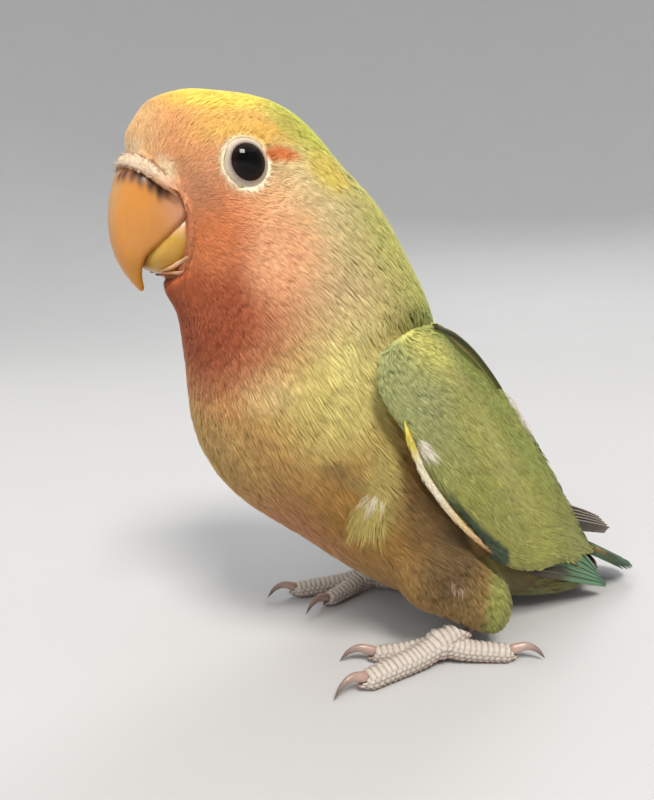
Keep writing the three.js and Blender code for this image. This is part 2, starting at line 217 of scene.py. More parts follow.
HEAD_PATCHES = [
    ("#c8b785", (13, -1, -5), (10, 12, 12), 0.5),  # ear coverts
    ("#d99368", (6, -8, -14), (15, 14, 16), 0.5),  # throat, soft
    ("#974e31", (8, -10, -20), (12, 11, 10), 0.55),  # bib
    ("#ce7c4d", (9, -10, -8.5), (6.5, 6, 6.5), 0.6),  # cheek
    ("#a85938", (4, -10, -17), (5, 5, 3.5), 0.6),  # shaded throat behind the bill
    ("#d2956d", (8, -11, 0), (6, 6, 6), 0.6),  # lores
    ("#d39964", (7, -9, 6), (9, 7, 6), 0.6),  # forehead
    ("#dbb27e", (0, -15, 5), (6.5, 3.2, 6), 0.6),  # front of the forehead
    ("#e3cba8", (2.2, -15.6, 2.2), (4, 1.1, 1.7), 0.6),  # pale fringe over the cere
    ("#efd2ab", (5.7, -12.6, -0.6), (1.3, 2.4, 1.6), 0.6),
    ("#f2d05b", (5, -3.5, 10.5), (7, 8, 4.6), 0.5),  # yellow crown
    ("#d8ac58", (11, -3, 4.6), (5, 7, 2.6), 0.5),  # brow
    ("#d9a075", (16, -2, -12), (3, 5, 5), 0.8),  # lighter side of the throat
    ("#c6c858", (6, 8, 9), (12, 6.5, 8), 0.5),  # lime hindcrown
    ("#b7ad53", (10.5, 4.5, 7), (3, 2.2, 2.6), 0.8),  # its darker spot
    ("#d3be5f", (14, 8.5, 0.3), (4.5, 3.6, 3.6), 0.6),  # yellow side of the nape
    ("#f4ebcb", (11.3, -3.3, -0.15), (3.4, 3.75, 3.6), 0.14),  # pale round the eye
    ("#cb7440", (13.2, 1.2, 1.5), (2.6, 2.5, 1.0), 0.5),  # streak behind the eye
]
BACK_COLOUR = "#92a056"
NAPE_COLOUR = "#beba6c"
RUMP_COLOUR = "#6f9f9a"
BELLY_COLOUR = "#a8834d"
NECK_COLOUR = "#bca578"


def patched(colours, points, patches):
    """The colours with each patch laid over them in turn."""
    for colour, middle, radii, soft in patches:
        away = np.sqrt((((points - middle) / radii) ** 2).sum(1))
        weight = ramp(1 + soft, 1 - soft, away)[:, None]
        colours = mix(colours, linear(colour), weight)
    return colours


def body_markings(points):
    """The plumage's colour at points on the body, head and legs, with painted light and shade in a few of its
    patches.
    """
    place = nearest(points, SPINE)
    offset = points - SPINE[place]
    back = (offset * SPINE_BACK[place]).sum(1)
    head = to_head(points)
    head[:, 0] = np.abs(head[:, 0])
    own = points.copy()
    own[:, 0] = np.abs(points[:, 0] - np.interp(points[:, 2], [20, 45, 60, 75], [0, -1, -2.5, -4.2]))
    colours = np.broadcast_to(linear(BELLY_COLOUR), points.shape)
    colours = patched(colours, own, BODY_PATCHES)
    height = points[:, 2] - 0.35 * points[:, 1]
    colours = mix(colours, linear(NECK_COLOUR), ramp(54, 66, height)[:, None])
    colours = mix(colours, linear(NAPE_COLOUR), (ramp(0, 13, back) * ramp(30, 46, place))[:, None])
    colours = mix(colours, linear(BACK_COLOUR), (ramp(1, 9, back) * ramp(72, 56, place))[:, None])
    colours = mix(colours, linear(RUMP_COLOUR), (ramp(1, 4, back) * ramp(26, 16, place))[:, None])
    return patched(colours, head, HEAD_PATCHES)


def wing_place(points, side):
    """How far along a wing points lie, and how far from its leading edge, both from 0 to 1."""
    net = WING_NETS[side]
    rows, columns = net.shape[:2]
    row, column = np.divmod(nearest(points, net.reshape(-1, 3)), columns)
    return row / (rows - 1), column / (columns - 1)


WING_BASE = "#92914a"
WING_PATCHES = [  # colour, how far along, how far across, radii, softness
    ("#979a65", (0.12, 0.2), (0.2, 0.5), 0.6),  # grey-green wrist
    ("#c6c16b", (0.13, 0.8), (0.13, 0.35), 0.6),  # yellow shoulder
    ("#919750", (0.5, 1.0), (0.6, 0.28), 0.6),  # greener edge along the back
    ("#a3a158", (0.45, 0.5), (0.2, 0.25), 0.6),  # browner middle
    ("#828448", (0.88, 0.4), (0.12, 0.8), 0.6),  # yellower ends
]
BAND_COLOUR = "#3d4a35"  # the dark band behind the pale edge


def wing_markings(points, side):
    """The plumage's colour at points on a folded wing."""
    along, across = wing_place(points, side)
    where = np.stack([along, across], 1)
    colours = patched(np.broadcast_to(linear(WING_BASE), points.shape), where, WING_PATCHES)
    strip = folded(curve(WING_STRIP, 60), side)
    gap = np.linalg.norm(points - strip[nearest(points, strip)], axis=1)
    band = ramp(2.3, 1.5, gap) * ramp(0.3, 0.42, along)
    return mix(colours, linear(BAND_COLOUR), band[:, None])


# Materials


def node(tree, kind, inputs=(), **settings):
    """Adds a shader node, with its settings and what its inputs hold or are joined to."""
    made = tree.nodes.new("ShaderNode" + kind)
    for name, value in settings.items():
        setattr(made, name, value)
    for name, value in dict(inputs).items():
        if isinstance(value, bpy.types.NodeSocket):
            tree.links.new(value, made.inputs[name])
        else:
            made.inputs[name].default_value = value
    return made


def material(name, surface):
    """A material whose shader is made by surface(tree), which returns the socket to show."""
    made = bpy.data.materials.new(name)
    made.use_nodes = True
    tree = made.node_tree
    tree.nodes.clear()
    out = tree.nodes.new("ShaderNodeOutputMaterial")
    tree.links.new(surface(tree), out.inputs["Surface"])
    return made


# Every pattern's scale below is in repeats to the metre, so that 1000 is a pattern of one millimetre.


def markings_colour(tree, low, high, fleck):
    """The piece's own markings, darker and lighter in fine flecks."""
    place = node(tree, "TexCoord").outputs["Object"]
    cloud = node(tree, "TexNoise", {"Vector": place, "Scale": fleck, "Detail": 3.0}).outputs["Fac"]
    shade = node(tree, "MapRange", {"Value": cloud, "To Min": low, "To Max": high}).outputs["Result"]
    colour = node(tree, "Attribute", attribute_name="markings").outputs["Color"]
    return node(tree, "VectorMath", {0: colour, "Scale": shade}, operation="SCALE").outputs["Vector"]


def grained(shades, fleck, grain, bump, finish):
    """A surface of the piece's markings, in flecks, over a fine grain. The grain is a texture, its settings
    and what it gives, and the bump is how strong it is and how deep in metres."""

    def surface(tree):
        texture, settings, height = grain
        strength, depth = bump
        place = node(tree, "TexCoord").outputs["Object"]
        relief = node(tree, texture, {"Vector": place, **settings}).outputs[height]
        rough = node(tree, "Bump", {"Height": relief, "Strength": strength, "Distance": depth})
        return node(tree, "BsdfPrincipled", {
            "Base Color": markings_colour(tree, *shades, fleck), "Normal": rough.outputs["Normal"], **finish,
        }).outputs["BSDF"]

    return surface


def plumage_surface(tree):
    return node(tree, "BsdfPrincipled", {
        "Base Color": markings_colour(tree, 0.9, 1.1, 900), "Roughness": 0.66, "Specular IOR Level": 0.22,
        "Sheen Weight": 0.06, "Sheen Roughness": 0.5,
    }).outputs["BSDF"]


# Loose barbs of keratin: matt and soft to the eye, with a faint sheen where the coat turns away. The flecks
# are 1.1 mm, about a tuft's breadth, and the barbs themselves are in the mesh.
PLUMAGE = material("feather_barbs", plumage_surface)

# Thin skin with down on it: dull, so that it only fills the depth between the feathers. Its pores, half a
# millimetre apart in life, are drawn 0.7 mm apart.
SKIN = material("down_covered_skin", grained(
    shades=(0.88, 1.0), fleck=700, grain=("TexNoise", {"Scale": 1500.0, "Detail": 2.0}, "Fac"),
    bump=(0.5, 0.0002), finish={"Roughness": 0.75, "Specular IOR Level": 0.2},
))

# Dry skin of horny scales: a low, broken shine on the plates, which are in the mesh, and a grain of 0.4 mm
# cells between them, coarser than real ones so that it shows.
SCALES = material("dry_scaled_skin", grained(
    shades=(0.86, 1.1), fleck=1200, grain=("TexVoronoi", {"Scale": 2600.0}, "Distance"),
    bump=(0.35, 0.00015), finish={"Roughness": 0.55, "Specular IOR Level": 0.4},
))

# Bare, waxy skin of the lids and the cere: smoother than the rest and a little clear, so that light softens
# its folds, with a grain of 0.4 mm.
WAXY = material("waxy_bare_skin", grained(
    shades=(0.92, 1.06), fleck=1400, grain=("TexNoise", {"Scale": 2600.0, "Detail": 2.0}, "Fac"),
    bump=(0.4, 0.00012), finish={
        "Roughness": 0.5, "Specular IOR Level": 0.35, "Subsurface Weight": 0.1, "Subsurface Scale": 0.0006,
    },
))


def eye_surface(tree):
    colour = node(tree, "Attribute", attribute_name="markings").outputs["Color"]
    return node(tree, "BsdfPrincipled", {
        "Base Color": colour, "Roughness": 0.03, "IOR": 1.38, "Specular IOR Level": 0.28,
    }).outputs["BSDF"]


# A wet film over a dark iris: as smooth as glass, so that it shows one sharp light and the dark beneath.
EYE = material("wet_cornea", eye_surface)


def horn_surface(tree):
    place = node(tree, "TexCoord").outputs["Object"]
    drawn_out = node(tree, "Mapping", {"Vector": place, "Scale": (1, 1, 0.16)}).outputs["Vector"]
    streak = node(tree, "TexNoise", {"Vector": drawn_out, "Scale": 1300.0, "Detail": 3.0}).outputs["Fac"]
    shade = node(tree, "MapRange", {"Value": streak, "To Min": 0.93, "To Max": 1.06}).outputs["Result"]
    colour = node(tree, "Attribute", attribute_name="markings").outputs["Color"]
    colour = node(tree, "VectorMath", {0: colour, "Scale": shade}, operation="SCALE").outputs["Vector"]
    grain = node(tree, "TexNoise", {"Vector": place, "Scale": 700.0, "Detail": 4.0}).outputs["Fac"]
    relief = node(tree, "Math", {0: streak, 1: grain}, operation="ADD").outputs["Value"]
    bump = node(tree, "Bump", {"Height": relief, "Strength": 0.22, "Distance": 0.0002}).outputs["Normal"]
    return node(tree, "BsdfPrincipled", {
        "Base Color": colour, "Roughness": 0.34, "IOR": 1.54, "Specular IOR Level": 0.4, "Normal": bump,
        "Subsurface Weight": 0.15, "Subsurface Scale": 0.001, "Coat Weight": 0.3, "Coat Roughness": 0.22,
    }).outputs["BSDF"]


# Keratin grown in layers: satin, with a soft light on it and a little depth. Growth streaks run down it,
# 0.8 mm wide and 5 mm long, coarser than real ones so that they show, over dents of 1.4 mm.
HORN = material("keratin_horn", horn_surface)


def vane_surface(tree):
    place = node(tree, "UVMap", uv_map="barbs").outputs["UV"]
    across = node(tree, "VectorMath", {0: place, 1: (0.5, 0, 0)}, operation="SUBTRACT").outputs["Vector"]
    halved = node(tree, "VectorMath", {0: across}, operation="ABSOLUTE").outputs["Vector"]
    slanted = node(tree, "Mapping", {"Vector": halved, "Rotation": (0, 0, 0.12)}).outputs["Vector"]
    barbs = node(tree, "TexWave", {
        "Vector": slanted, "Scale": 30.0, "Distortion": 1.5, "Detail": 1.0,
    }, bands_direction="Y").outputs["Fac"]
    shade = node(tree, "MapRange", {"Value": barbs, "To Min": 0.86, "To Max": 1.08}).outputs["Result"]
    colour = markings_colour(tree, 0.9, 1.08, 800)
    colour = node(tree, "VectorMath", {0: colour, "Scale": shade}, operation="SCALE").outputs["Vector"]
    bump = node(tree, "Bump", {"Height": barbs, "Strength": 0.6, "Distance": 0.0001}).outputs["Normal"]
    return node(tree, "BsdfPrincipled", {
        "Base Color": colour, "Roughness": 0.5, "Specular IOR Level": 0.35, "Normal": bump,
    }).outputs["BSDF"]


# Barbs hooked together into one smooth blade: silkier than the coat, with lines swept back from the shaft.
# A wave of 30 makes 95 lines to a feather's length, a quarter of a millimetre apart, as in life.
VANE = material("feather_vane", vane_surface)

# Pieces


def show(name, mesh, finish, slot, replaces=()):
    """Puts a finished mesh, already in the frame's metres, on the bird."""
    mesh.polygons.foreach_set("use_smooth", np.ones(len(mesh.polygons), bool))
    mesh.materials.clear()
    mesh.materials.append(finish)
    shown = bpy.data.objects.new(name, mesh)
    bpy.context.scene.collection.objects.link(shown)
    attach(shown, "root")
    if replaces:
        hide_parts(*replaces)


def modified(bm, *modifiers):
    """A bmesh in the frame's metres, after modifiers, each a kind and its settings."""
    mesh = bpy.data.meshes.new("working")
    bm.to_mesh(mesh)
    bm.free()
    working = bpy.data.objects.new("working", mesh)
    bpy.context.scene.collection.objects.link(working)
    for kind, settings in modifiers:
        step = working.modifiers.new(kind, kind)
        for name, value in settings.items():
            setattr(step, name, value)
    graph = bpy.context.evaluated_depsgraph_get()
    made = bpy.data.meshes.new_from_object(working.evaluated_get(graph))
    bpy.data.objects.remove(working)
    return made


def places(mesh):
    """A mesh's points in the bird's millimetres."""
    co = np.empty(len(mesh.vertices) * 3, np.float32)
    mesh.vertices.foreach_get("co", co)
    return (co.reshape(-1, 3).astype(float) - FLOOR_POINT) * 1000


def move_to(mesh, points):
    """Moves a mesh's points to places in the bird's millimetres."""
    mesh.vertices.foreach_set("co", (points / 1000 + FLOOR_POINT).astype(np.float32).ravel())
    mesh.update()


def normals_of(mesh):
    out = np.empty(len(mesh.vertices) * 3, np.float32)
    mesh.vertex_normals.foreach_get("vector", out)
    return out.reshape(-1, 3).astype(float)


def paint(mesh, colours):
    """Stores each point's linear colour as the piece's markings."""
    layer = mesh.color_attributes.new("markings", "FLOAT_COLOR", "POINT")
    colours = np.concatenate([np.clip(colours, 0, 1), np.ones((len(colours), 1))], 1)
    layer.data.foreach_set("color", colours.astype(np.float32).ravel())


def cad_copy(names, swell=0.0):
    """The named solids' meshes joined, their corners merged, and swollen by some millimetres."""
    bm = bmesh.new()
    for name in names:
        bm.from_mesh(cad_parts[name].data)
    bmesh.ops.remove_doubles(bm, verts=bm.verts, dist=1e-6)
    bm.normal_update()
    for vert in bm.verts:
        vert.co += vert.normal * swell / 1000
    return bm


def tree_of(names):
    """A search tree of the named solids, in the frame's metres."""
    bm = cad_copy(names)
    tree = BVHTree.FromBMesh(bm)
    bm.free()
    return tree


def distances(tree, points):
    """How far points, in the bird's millimetres, are from the surface in a tree."""
    return 1000 * np.array([tree.find_nearest(p)[3] for p in points / 1000 + FLOOR_POINT])


# Skin


def evened(faces, values):
    """Each point's values evened with those of the faces round it."""
    corners, means = faces.ravel(), np.repeat(values[faces].mean(1), faces.shape[1], axis=0)
    total = [np.bincount(corners, means[:, k], len(values)) for k in range(values.shape[1])]
    return np.stack(total, 1) / np.maximum(np.bincount(corners, minlength=len(values)), 1)[:, None]


class Hide:
    """A closed skin, sunk below a mesh and shaped: its points and normals in the bird's millimetres, its
    faces and a tree of them."""

    def __init__(self, mesh, sunk_by=lambda points: np.zeros(len(points)), shaped=lambda points, *_: points):
        before, normals = places(mesh), normals_of(mesh)
        faces = np.empty(len(mesh.polygons) * 4, np.int32)
        mesh.polygons.foreach_get("vertices", faces)
        self.faces = faces.reshape(-1, 4)
        tree = BVHTree.FromPolygons(before.tolist(), self.faces.tolist())
        room = np.array([tree.ray_cast(p - n * 0.05, -n)[3] or 1 for p, n in zip(before, normals)])
        sunk = np.minimum(sunk_by(before), 0.36 * room)  # thin places keep some thickness
        self.points = shaped(before - normals * sunk[:, None], normals, self.faces)
        move_to(mesh, self.points)
        self.mesh = mesh
        self.tree = BVHTree.FromPolygons(self.points.tolist(), self.faces.tolist())
        self.normals = normals_of(mesh)
        for _ in range(4):  # softens what the coat stands on
            self.normals = unit(evened(self.faces, self.normals))


def coat_size(points):
    """How full-grown the coat is, from 0 by the bill to 1 on the body."""
    return ramp(7, 40, np.linalg.norm(to_head(points) - BILL_ROOT, axis=1))


def coat_depth(points):
    """How thick the coat is, in millimetres."""
    return mix(0.34, 1.0, coat_size(points))


def voxels(size, smoothing):
    """Modifiers that make one even skin of a mesh, of voxels given in millimetres, and smooth it."""
    return (
        ("REMESH", {"mode": "VOXEL", "voxel_size": size / 1000}),
        ("SMOOTH", {"factor": 0.5, "iterations": smoothing}),
    )


def from_eye(points, sign):
    """How far out along an eye's axis points lie from its centre, and how far from that axis."""
    offset = to_head(points) - EYE_CENTRE * (sign, 1, 1)
    out = offset @ (EYE_AXIS * (sign, 1, 1))
    return out, np.linalg.norm(offset - out[:, None] * EYE_AXIS * (sign, 1, 1), axis=1)


def with_orbits(points, *_):
    """Draws the skin round each eye in, or out, to meet its lids, and fills the chin under the bill."""
    chin = np.exp(-(((to_head(points) - CHIN) / (4, 3.5, 2.8)) ** 2).sum(1))
    points = points + np.outer(CHIN_FILL * chin, (0, -1, 0)) @ HEAD.T
    for sign in SIDES.values():
        out, away = from_eye(points, sign)
        wanted = LID_OUT - 0.3 - 0.9 * ramp(2.7, 2.35, away)
        weight = ramp(8, 3.6, away) * ramp(-3.4, -2, out) * ramp(2.2, 2.5, away)
        points = points + np.outer((wanted - out) * weight, EYE_AXIS * (sign, 1, 1)) @ HEAD.T
    return points


def rounded_over(side):
    """Evens the outer face of a wing and draws its rim out along the back and the front."""
    way = outward(side)
    net = WING_NETS[side]
    backward = unit(net[:, -1] - net[:, -2])

    def shaped(points, normals, faces):
        outer = ramp(0.3, 0.6, normals @ way)[:, None]
        height = before = (points @ way)[:, None]
        for _ in range(60):
            height = mix(height, evened(faces, height), outer)
        along, across = wing_place(points, side)
        drawn = WING_SPREAD * ramp(0.5, 1, across) * ramp(0.02, 0.2, along) * ramp(1, 0.9, along)
        drawn -= FRONT_SPREAD * ramp(0.45, 0, across) * ramp(0.22, 0.4, along) * ramp(0.85, 0.7, along)
        row = np.rint(along * (len(net) - 1)).astype(int)
        return points + (height - before) * way + backward[row] * drawn[:, None]

    return shaped


def body_depth(points):
    """How deep the skin lies, deeper where a wing stands over it."""
    wing_gap = np.minimum(*(distances(tree_of(["wing_" + side]), points) for side in SIDES))
    return coat_depth(points) + GAP_FILL + 1.5 * ramp(2.8, 0.8, wing_gap)


body = Hide(modified(cad_copy(BODY_FLESH, GAP_FILL), *voxels(0.55, 14)), body_depth, with_orbits)
wings = {
    side: Hide(
        modified(cad_copy(["wing_" + side]), *voxels(0.4, 3)),
        lambda points: np.full(len(points), 0.45),
        rounded_over(side),
    )
    for side in SIDES
}
for sign in SIDES.values():  # the coat round an eye lies square to where it looks
    out, away = from_eye(body.points, sign)
    weight = (ramp(4.6, 3.2, away) * ramp(-3, -1, out))[:, None]
    body.normals = unit(mix(body.normals, (EYE_AXIS * (sign, 1, 1)) @ HEAD.T, weight))
leg_gap = np.minimum(*(distances(tree_of(["leg_" + side]), body.points) for side in SIDES))
on_leg = leg_gap < distances(tree_of(["trunk", "neck"]), body.points) - 0.2

# The skin is painted lighter than the coat, because it lies in the coat's own shade.
paint(body.mesh, 1.32 * body_markings(body.points))
for side, wing in wings.items():
    paint(wing.mesh, 1.25 * wing_markings(wing.points, side))
bm = bmesh.new()
for hide in (body, *wings.values()):
    bm.from_mesh(hide.mesh)
show("skin", modified(bm), SKIN, "breast_plumage", [*BODY_FLESH, "wing_left", "wing_right"])

# Coat


def body_lie(points, normals, on_legs):
    """Which way the coat lies: away from the bill, round the eyes, then along the body to the tail."""
    head = to_head(points)
    from_bill = unit(head - BILL_ROOT) @ HEAD.T
    ones = np.ones(len(head))
    eye_offset = head - EYE_CENTRE * np.stack([np.sign(head[:, 0]), ones, ones], 1)
    near_eye = np.exp(-np.maximum(np.linalg.norm(eye_offset, axis=1) - 4, 0) / 1.4)[:, None]
    near_bill = ramp(30, 12, np.linalg.norm(head - BILL_ROOT, axis=1))[:, None]
    way = mix(-SPINE_ALONG[nearest(points, SPINE)], from_bill, near_bill)
    way = way + 0.8 * near_eye * (unit(eye_offset) @ HEAD.T)
    down = np.stack([0.15 * np.sign(points[:, 0]), 0.35 * ones, -ones], 1)
    way = np.where(on_legs[:, None], mix(way, down, 0.8), way)
    return unit(way - normals * (way * normals).sum(1, keepdims=True))


def wing_lie(points, normals, side):
    """Which way a wing's coat lies: along the wing."""
    net = WING_NETS[side]
    slope = unit(np.gradient(net, axis=0)).reshape(-1, 3)
    way = slope[nearest(points, net.reshape(-1, 3))]
    return unit(way - normals * (way * normals).sum(1, keepdims=True))


def scattered(hide, spacing_at, allowed):
    """Roots spread evenly over a hide: their places, normals and nearest points of it."""
    a, b, c, d = (hide.points[hide.faces[:, k]] for k in range(4))
    area = np.linalg.norm(np.cross(b - a, c - a), axis=1) + np.linalg.norm(np.cross(c - a, d - a), axis=1)
    corner = hide.faces[:, 0]
    spacing = spacing_at(hide.points)[corner]
    weight = np.where(allowed[corner], area / spacing**2, 0)
    tries = int(weight.sum() * 2.5)
    face = chance.choice(len(weight), tries, p=weight / weight.sum())
    s, t = chance.random((2, tries, 1))
    points = mix(mix(a[face], b[face], s), mix(d[face], c[face], s), t)
    keep, taken = [], {}
    cells = np.floor(points / 2.0).astype(int).tolist()  # of 2 mm, wider than any spacing
    near = [(i, j, k) for i in (-1, 0, 1) for j in (-1, 0, 1) for k in (-1, 0, 1)]
    for index, (cell, point, apart) in enumerate(zip(cells, points.tolist(), 0.8 * spacing[face])):
        rivals = (q for n in near for q in taken.get((cell[0] + n[0], cell[1] + n[1], cell[2] + n[2]), ()))
        if all(math.dist(point, q) > apart for q in rivals):
            keep.append(index)
            taken.setdefault(tuple(cell), []).append(point)
    corner = corner[face[keep]]
    return points[keep], hide.normals[corner], corner


def lattice(hide, roots, normals, ways, lengths, widths, cling):
    """The hide under each tuft: three points along it by three across, with their normals."""
    across = np.cross(ways, normals)
    points = np.empty((len(roots), 3, 3, 3))
    upward = np.empty_like(points)
    for row in range(3):
        for column in range(3):
            reach = ways * (lengths * row / 2)[:, None] + across * (widths * (column - 1))[:, None]
            for i, wanted in enumerate(roots + reach):
                spot, _, face, gap = hide.tree.find_nearest(wanted)
                points[i, row, column] = wanted + (np.array(spot) - wanted) * min(1, cling / max(gap, 1e-6))
                normal = hide.normals[hide.faces[face, 0]]
                facing = normal @ normals[i] > 0.2 and gap < 1.5
                upward[i, row, column] = normal if facing else normals[i]
    return points, upward


def on_lattice(net, u, v):
    """Values of a lattice at u across, from -1 to 1, and v along, from 0 to 1."""
    column = np.clip(u + 1, 0, 1.999)
    row = np.clip(v * 2, 0, 1.999)
    c, r = column.astype(int), row.astype(int)
    fc, fr = (u + 1 - c)[..., None], (v * 2 - r)[..., None]
    tuft = np.arange(len(net))[:, None]
    near = mix(net[tuft, r, c], net[tuft, r, c + 1], fc)
    far = mix(net[tuft, r + 1, c], net[tuft, r + 1, c + 1], fc)
    return mix(near, far, fr)


def unwrapped(points):
    """Each root's place on the skin laid out flat: round the body, and along it."""
    place = nearest(points, SPINE)
    offset = points - SPINE[place]
    beyond = (offset * SPINE_ALONG[place]).sum(1)
    across = np.cross(SPINE_ALONG[place], SPINE_BACK[place])
    turn = np.arctan2((offset * across).sum(1), (offset * SPINE_BACK[place]).sum(1))
    flat = np.stack([turn, place + beyond * 0.9], 1)
    low, high = flat.min(0), flat.max(0)
    return 0.01 + 0.98 * (flat - low) / np.maximum(high - low, 1e-6)


TUFT_PATCH = 0.003  # how much of the flat layout a tuft takes
SPINDLE = np.array([(0, 2, 1), (0, 1, 3), (0, 3, 2), (4, 1, 2), (4, 3, 1), (4, 2, 3)])
SPINDLE_SIDE = np.array([-1, 1, 1, -1, 1, 1])  # its two lower faces look down


def coat(
    name, slot, hide, roots, normals, ways, markings_at, length, slimness, depth, barb, blades,
    fan=1.0, vary=1.0, relief=0.4, cling=1.0, closed=True,
):
    """A piece of the coat: tufts of thin, closed barbs, each pointed at its root and tip.

    Slimness is half a tuft's width over its length, depth how far it stands off the hide, and barb half
    the width of one of its barbs. Fan is how far apart the barbs start, vary how much they differ in shade,
    relief how round each looks, cling how far a tuft may be drawn in to the hide, and closed whether low,
    broad blades lie under it. Lengths are in millimetres.
    """
    width = length * slimness
    depth, barb = (np.broadcast_to(value, len(roots)) for value in (depth, barb))
    wander = chance.normal(0, 0.06, len(roots))[:, None]
    ways = unit(ways + wander * np.cross(normals, ways))
    points, upward = lattice(hide, roots, normals, ways, length, width, cling)
    shape = (len(roots), blades)
    a = np.linspace(-1, 1, blades) + chance.normal(0, 0.5 / blades, shape)
    loose = chance.random(shape)
    u0, v0 = mix(0.95, 0.5, fan) * a, 0.02 + 0.3 * loose
    v1 = 1 - 0.4 * a**2 - 0.16 * chance.random(shape)
    u1 = 0.95 * a + chance.normal(0, 0.12, shape)
    um, vm = 0.5 * (u0 + u1) * 1.05, mix(v0, v1, 0.5)
    under = (np.arange(blades) % 6 == 2) & closed  # broad, low blades that close the coat
    lift = chance.random(shape)
    depth = depth[:, None] * np.where(under, 0.6, 1)
    dip = 0.16 * a**2
    h0, hm, h1 = -0.1 * depth, depth * (0.52 + 0.12 * lift - dip), depth * (0.66 + 0.24 * lift - dip)
    root = on_lattice(points, u0, v0) + on_lattice(upward, u0, v0) * h0[..., None]
    up = unit(on_lattice(upward, um, vm))
    middle = on_lattice(points, um, vm) + up * hm[..., None]
    tip_up = unit(on_lattice(upward, u1, v1))
    tip_up = np.where((tip_up * up).sum(-1, keepdims=True) > 0.5, tip_up, up)
    tip = on_lattice(points, u1, v1) + tip_up * h1[..., None]
    sideways = unit(np.cross(up, tip - root))
    wide = np.where(under, 0.36 * width[:, None], barb[:, None] * chance.uniform(0.7, 1.3, shape))[..., None]
    crest = middle + up * barb[:, None, None] * 0.5
    spindles = np.stack([root, middle - sideways * wide, middle + sideways * wide, crest, tip], 2)
    count = shape[0] * shape[1]
    mesh = bpy.data.meshes.new(name)
    mesh.vertices.add(count * 5)
    mesh.vertices.foreach_set("co", (spindles / 1000 + FLOOR_POINT).astype(np.float32).ravel())
    corners = (np.arange(count)[:, None, None] * 5 + SPINDLE).astype(np.int32).ravel()
    mesh.loops.add(len(corners))
    mesh.loops.foreach_set("vertex_index", corners)
    mesh.polygons.add(len(corners) // 3)
    mesh.polygons.foreach_set("loop_start", np.arange(0, len(corners), 3, dtype=np.int32))
    mesh.update(calc_edges=True)
    shade = chance.normal(1, 0.025 * vary, len(roots))[:, None] * chance.normal(1, 0.055 * vary, shape)
    # A few pale barbs, lighter partly as painted highlights of sheen.
    shade = shade * np.where((chance.random(shape) < 0.1) & ~under, 1.22, 1)  # a few pale barbs
    base = markings_at(middle.reshape(-1, 3)).reshape(*shape, 1, 3)
    # The barbs are painted darker at the root, where they lie deep in the coat: a painted shade.
    steps = np.array([0.92, 0.98, 0.98, 1.02, 1.04])[:, None]  # lighter from root to tip
    paint(mesh, (base * shade[..., None, None] * steps).reshape(-1, 3))
    slim = wide[..., 0] / width[:, None]
    local = np.stack([
        np.stack([u0, v0], -1), np.stack([um - slim, vm], -1), np.stack([um + slim, vm], -1),
        np.stack([um, vm], -1), np.stack([u1, v1], -1),
    ], 2)
    spots = unwrapped(roots)[:, None, None, :] + (local * (0.5, 1) - (0, 0.5)) * TUFT_PATCH
    layer = mesh.uv_layers.new(name="OFBake")
    layer.uv.foreach_set("vector", spots.reshape(-1, 2)[corners].astype(np.float32).ravel())
    show(name, mesh, PLUMAGE, slot)
    soft = unit(np.stack([up, up - relief * sideways, up + relief * sideways, up, tip_up], 2))
    facing = soft[:, :, SPINDLE] * SPINDLE_SIDE[:, None, None]
    mesh.normals_split_custom_set(facing.reshape(-1, 3).astype(np.float32))


def body_coat(name, slot, allowed, spacing, blades, fan, relief):
    """Tufts on the body where they are allowed, their spacing given as a share of their length."""

    def length_at(points):
        return mix(2.0, 5.6, coat_size(points))

    roots, normals, where = scattered(body, lambda p: length_at(p) * spacing, allowed & ~bare)
    length = np.where(on_leg[where], 3.2, length_at(roots)) * chance.uniform(0.88, 1.12, len(roots))
    coat(
        name, slot, body, roots, normals, body_lie(roots, normals, on_leg[where]), body_markings, length,
        slimness=0.28, depth=coat_depth(roots), barb=mix(0.045, 0.085, coat_size(roots)), blades=blades,
        fan=fan, relief=relief, cling=3.0,
    )


def wing_coat(side, blades, spacing):
    """The small feathers of a wing, longer towards its end."""
    hide = wings[side]

    def length_at(points):
        along = wing_place(points, side)[0]
        return mix(2.4, 6.0, along) + 2.5 * ramp(0.75, 0.9, along)

    along = wing_place(hide.points, side)[0]
    outer = (along < 0.95) & (hide.normals @ outward(side) > 0.03)
    roots, normals, _ = scattered(hide, lambda p: length_at(p) * spacing, outer)
    coat(
        "coat_wing_" + side, "wing_plumage", hide, roots, normals, wing_lie(roots, normals, side),
        lambda p: wing_markings(p, side), length_at(roots) * chance.uniform(0.88, 1.12, len(roots)),
        slimness=0.26, depth=0.6, barb=0.07, blades=blades, vary=2.3, relief=0.5, cling=3.0,
        closed=(normals @ outward(side) > 0.45)[:, None],
    )


def wing_fringe(side, blades):
    """The brush of loose tips that hangs over the end of the wing."""
    hide = wings[side]
    along, across = wing_place(hide.points, side)
    outer = hide.normals @ outward(side) > 0.45
    edge = (along > 0.7) & (along < 0.95) & (across > 0.1) & (across < 0.9) & outer
    roots, normals, _ = scattered(hide, lambda p: np.full(len(p), 1.5), edge)
    ways = unit(wing_lie(roots, normals, side) + (0, 0, -0.45))
    coat(
        "coat_wing_end_" + side, "wing_plumage", hide, roots, normals, ways,
        lambda p: 1.08 * wing_markings(p, side), mix(3.2, 5.2, chance.random(len(roots))),
        slimness=0.2, depth=0.95, barb=0.06, blades=blades, vary=1.6, relief=0.5, cling=0.5,
    )


# The coat is left out round the eyes, under the bill's root and under the wings.
bare = distances(tree_of(["bill_upper", "bill_lower"]), body.points) < 0.3
for sign in SIDES.values():
    out, away = from_eye(body.points, sign)
    bare |= (away < 2.75) & (out > -3)
for side in SIDES:
    ahead = -SPINE_ALONG[nearest(body.points, SPINE)] * 2.5
    under_wing = wings[side].tree.ray_cast
    bare |= np.array([
        under_wing(p, n, 5)[0] is not None and under_wing(q, n, 5)[0] is not None
        for p, q, n in zip(body.points, body.points + ahead, body.normals)
    ])

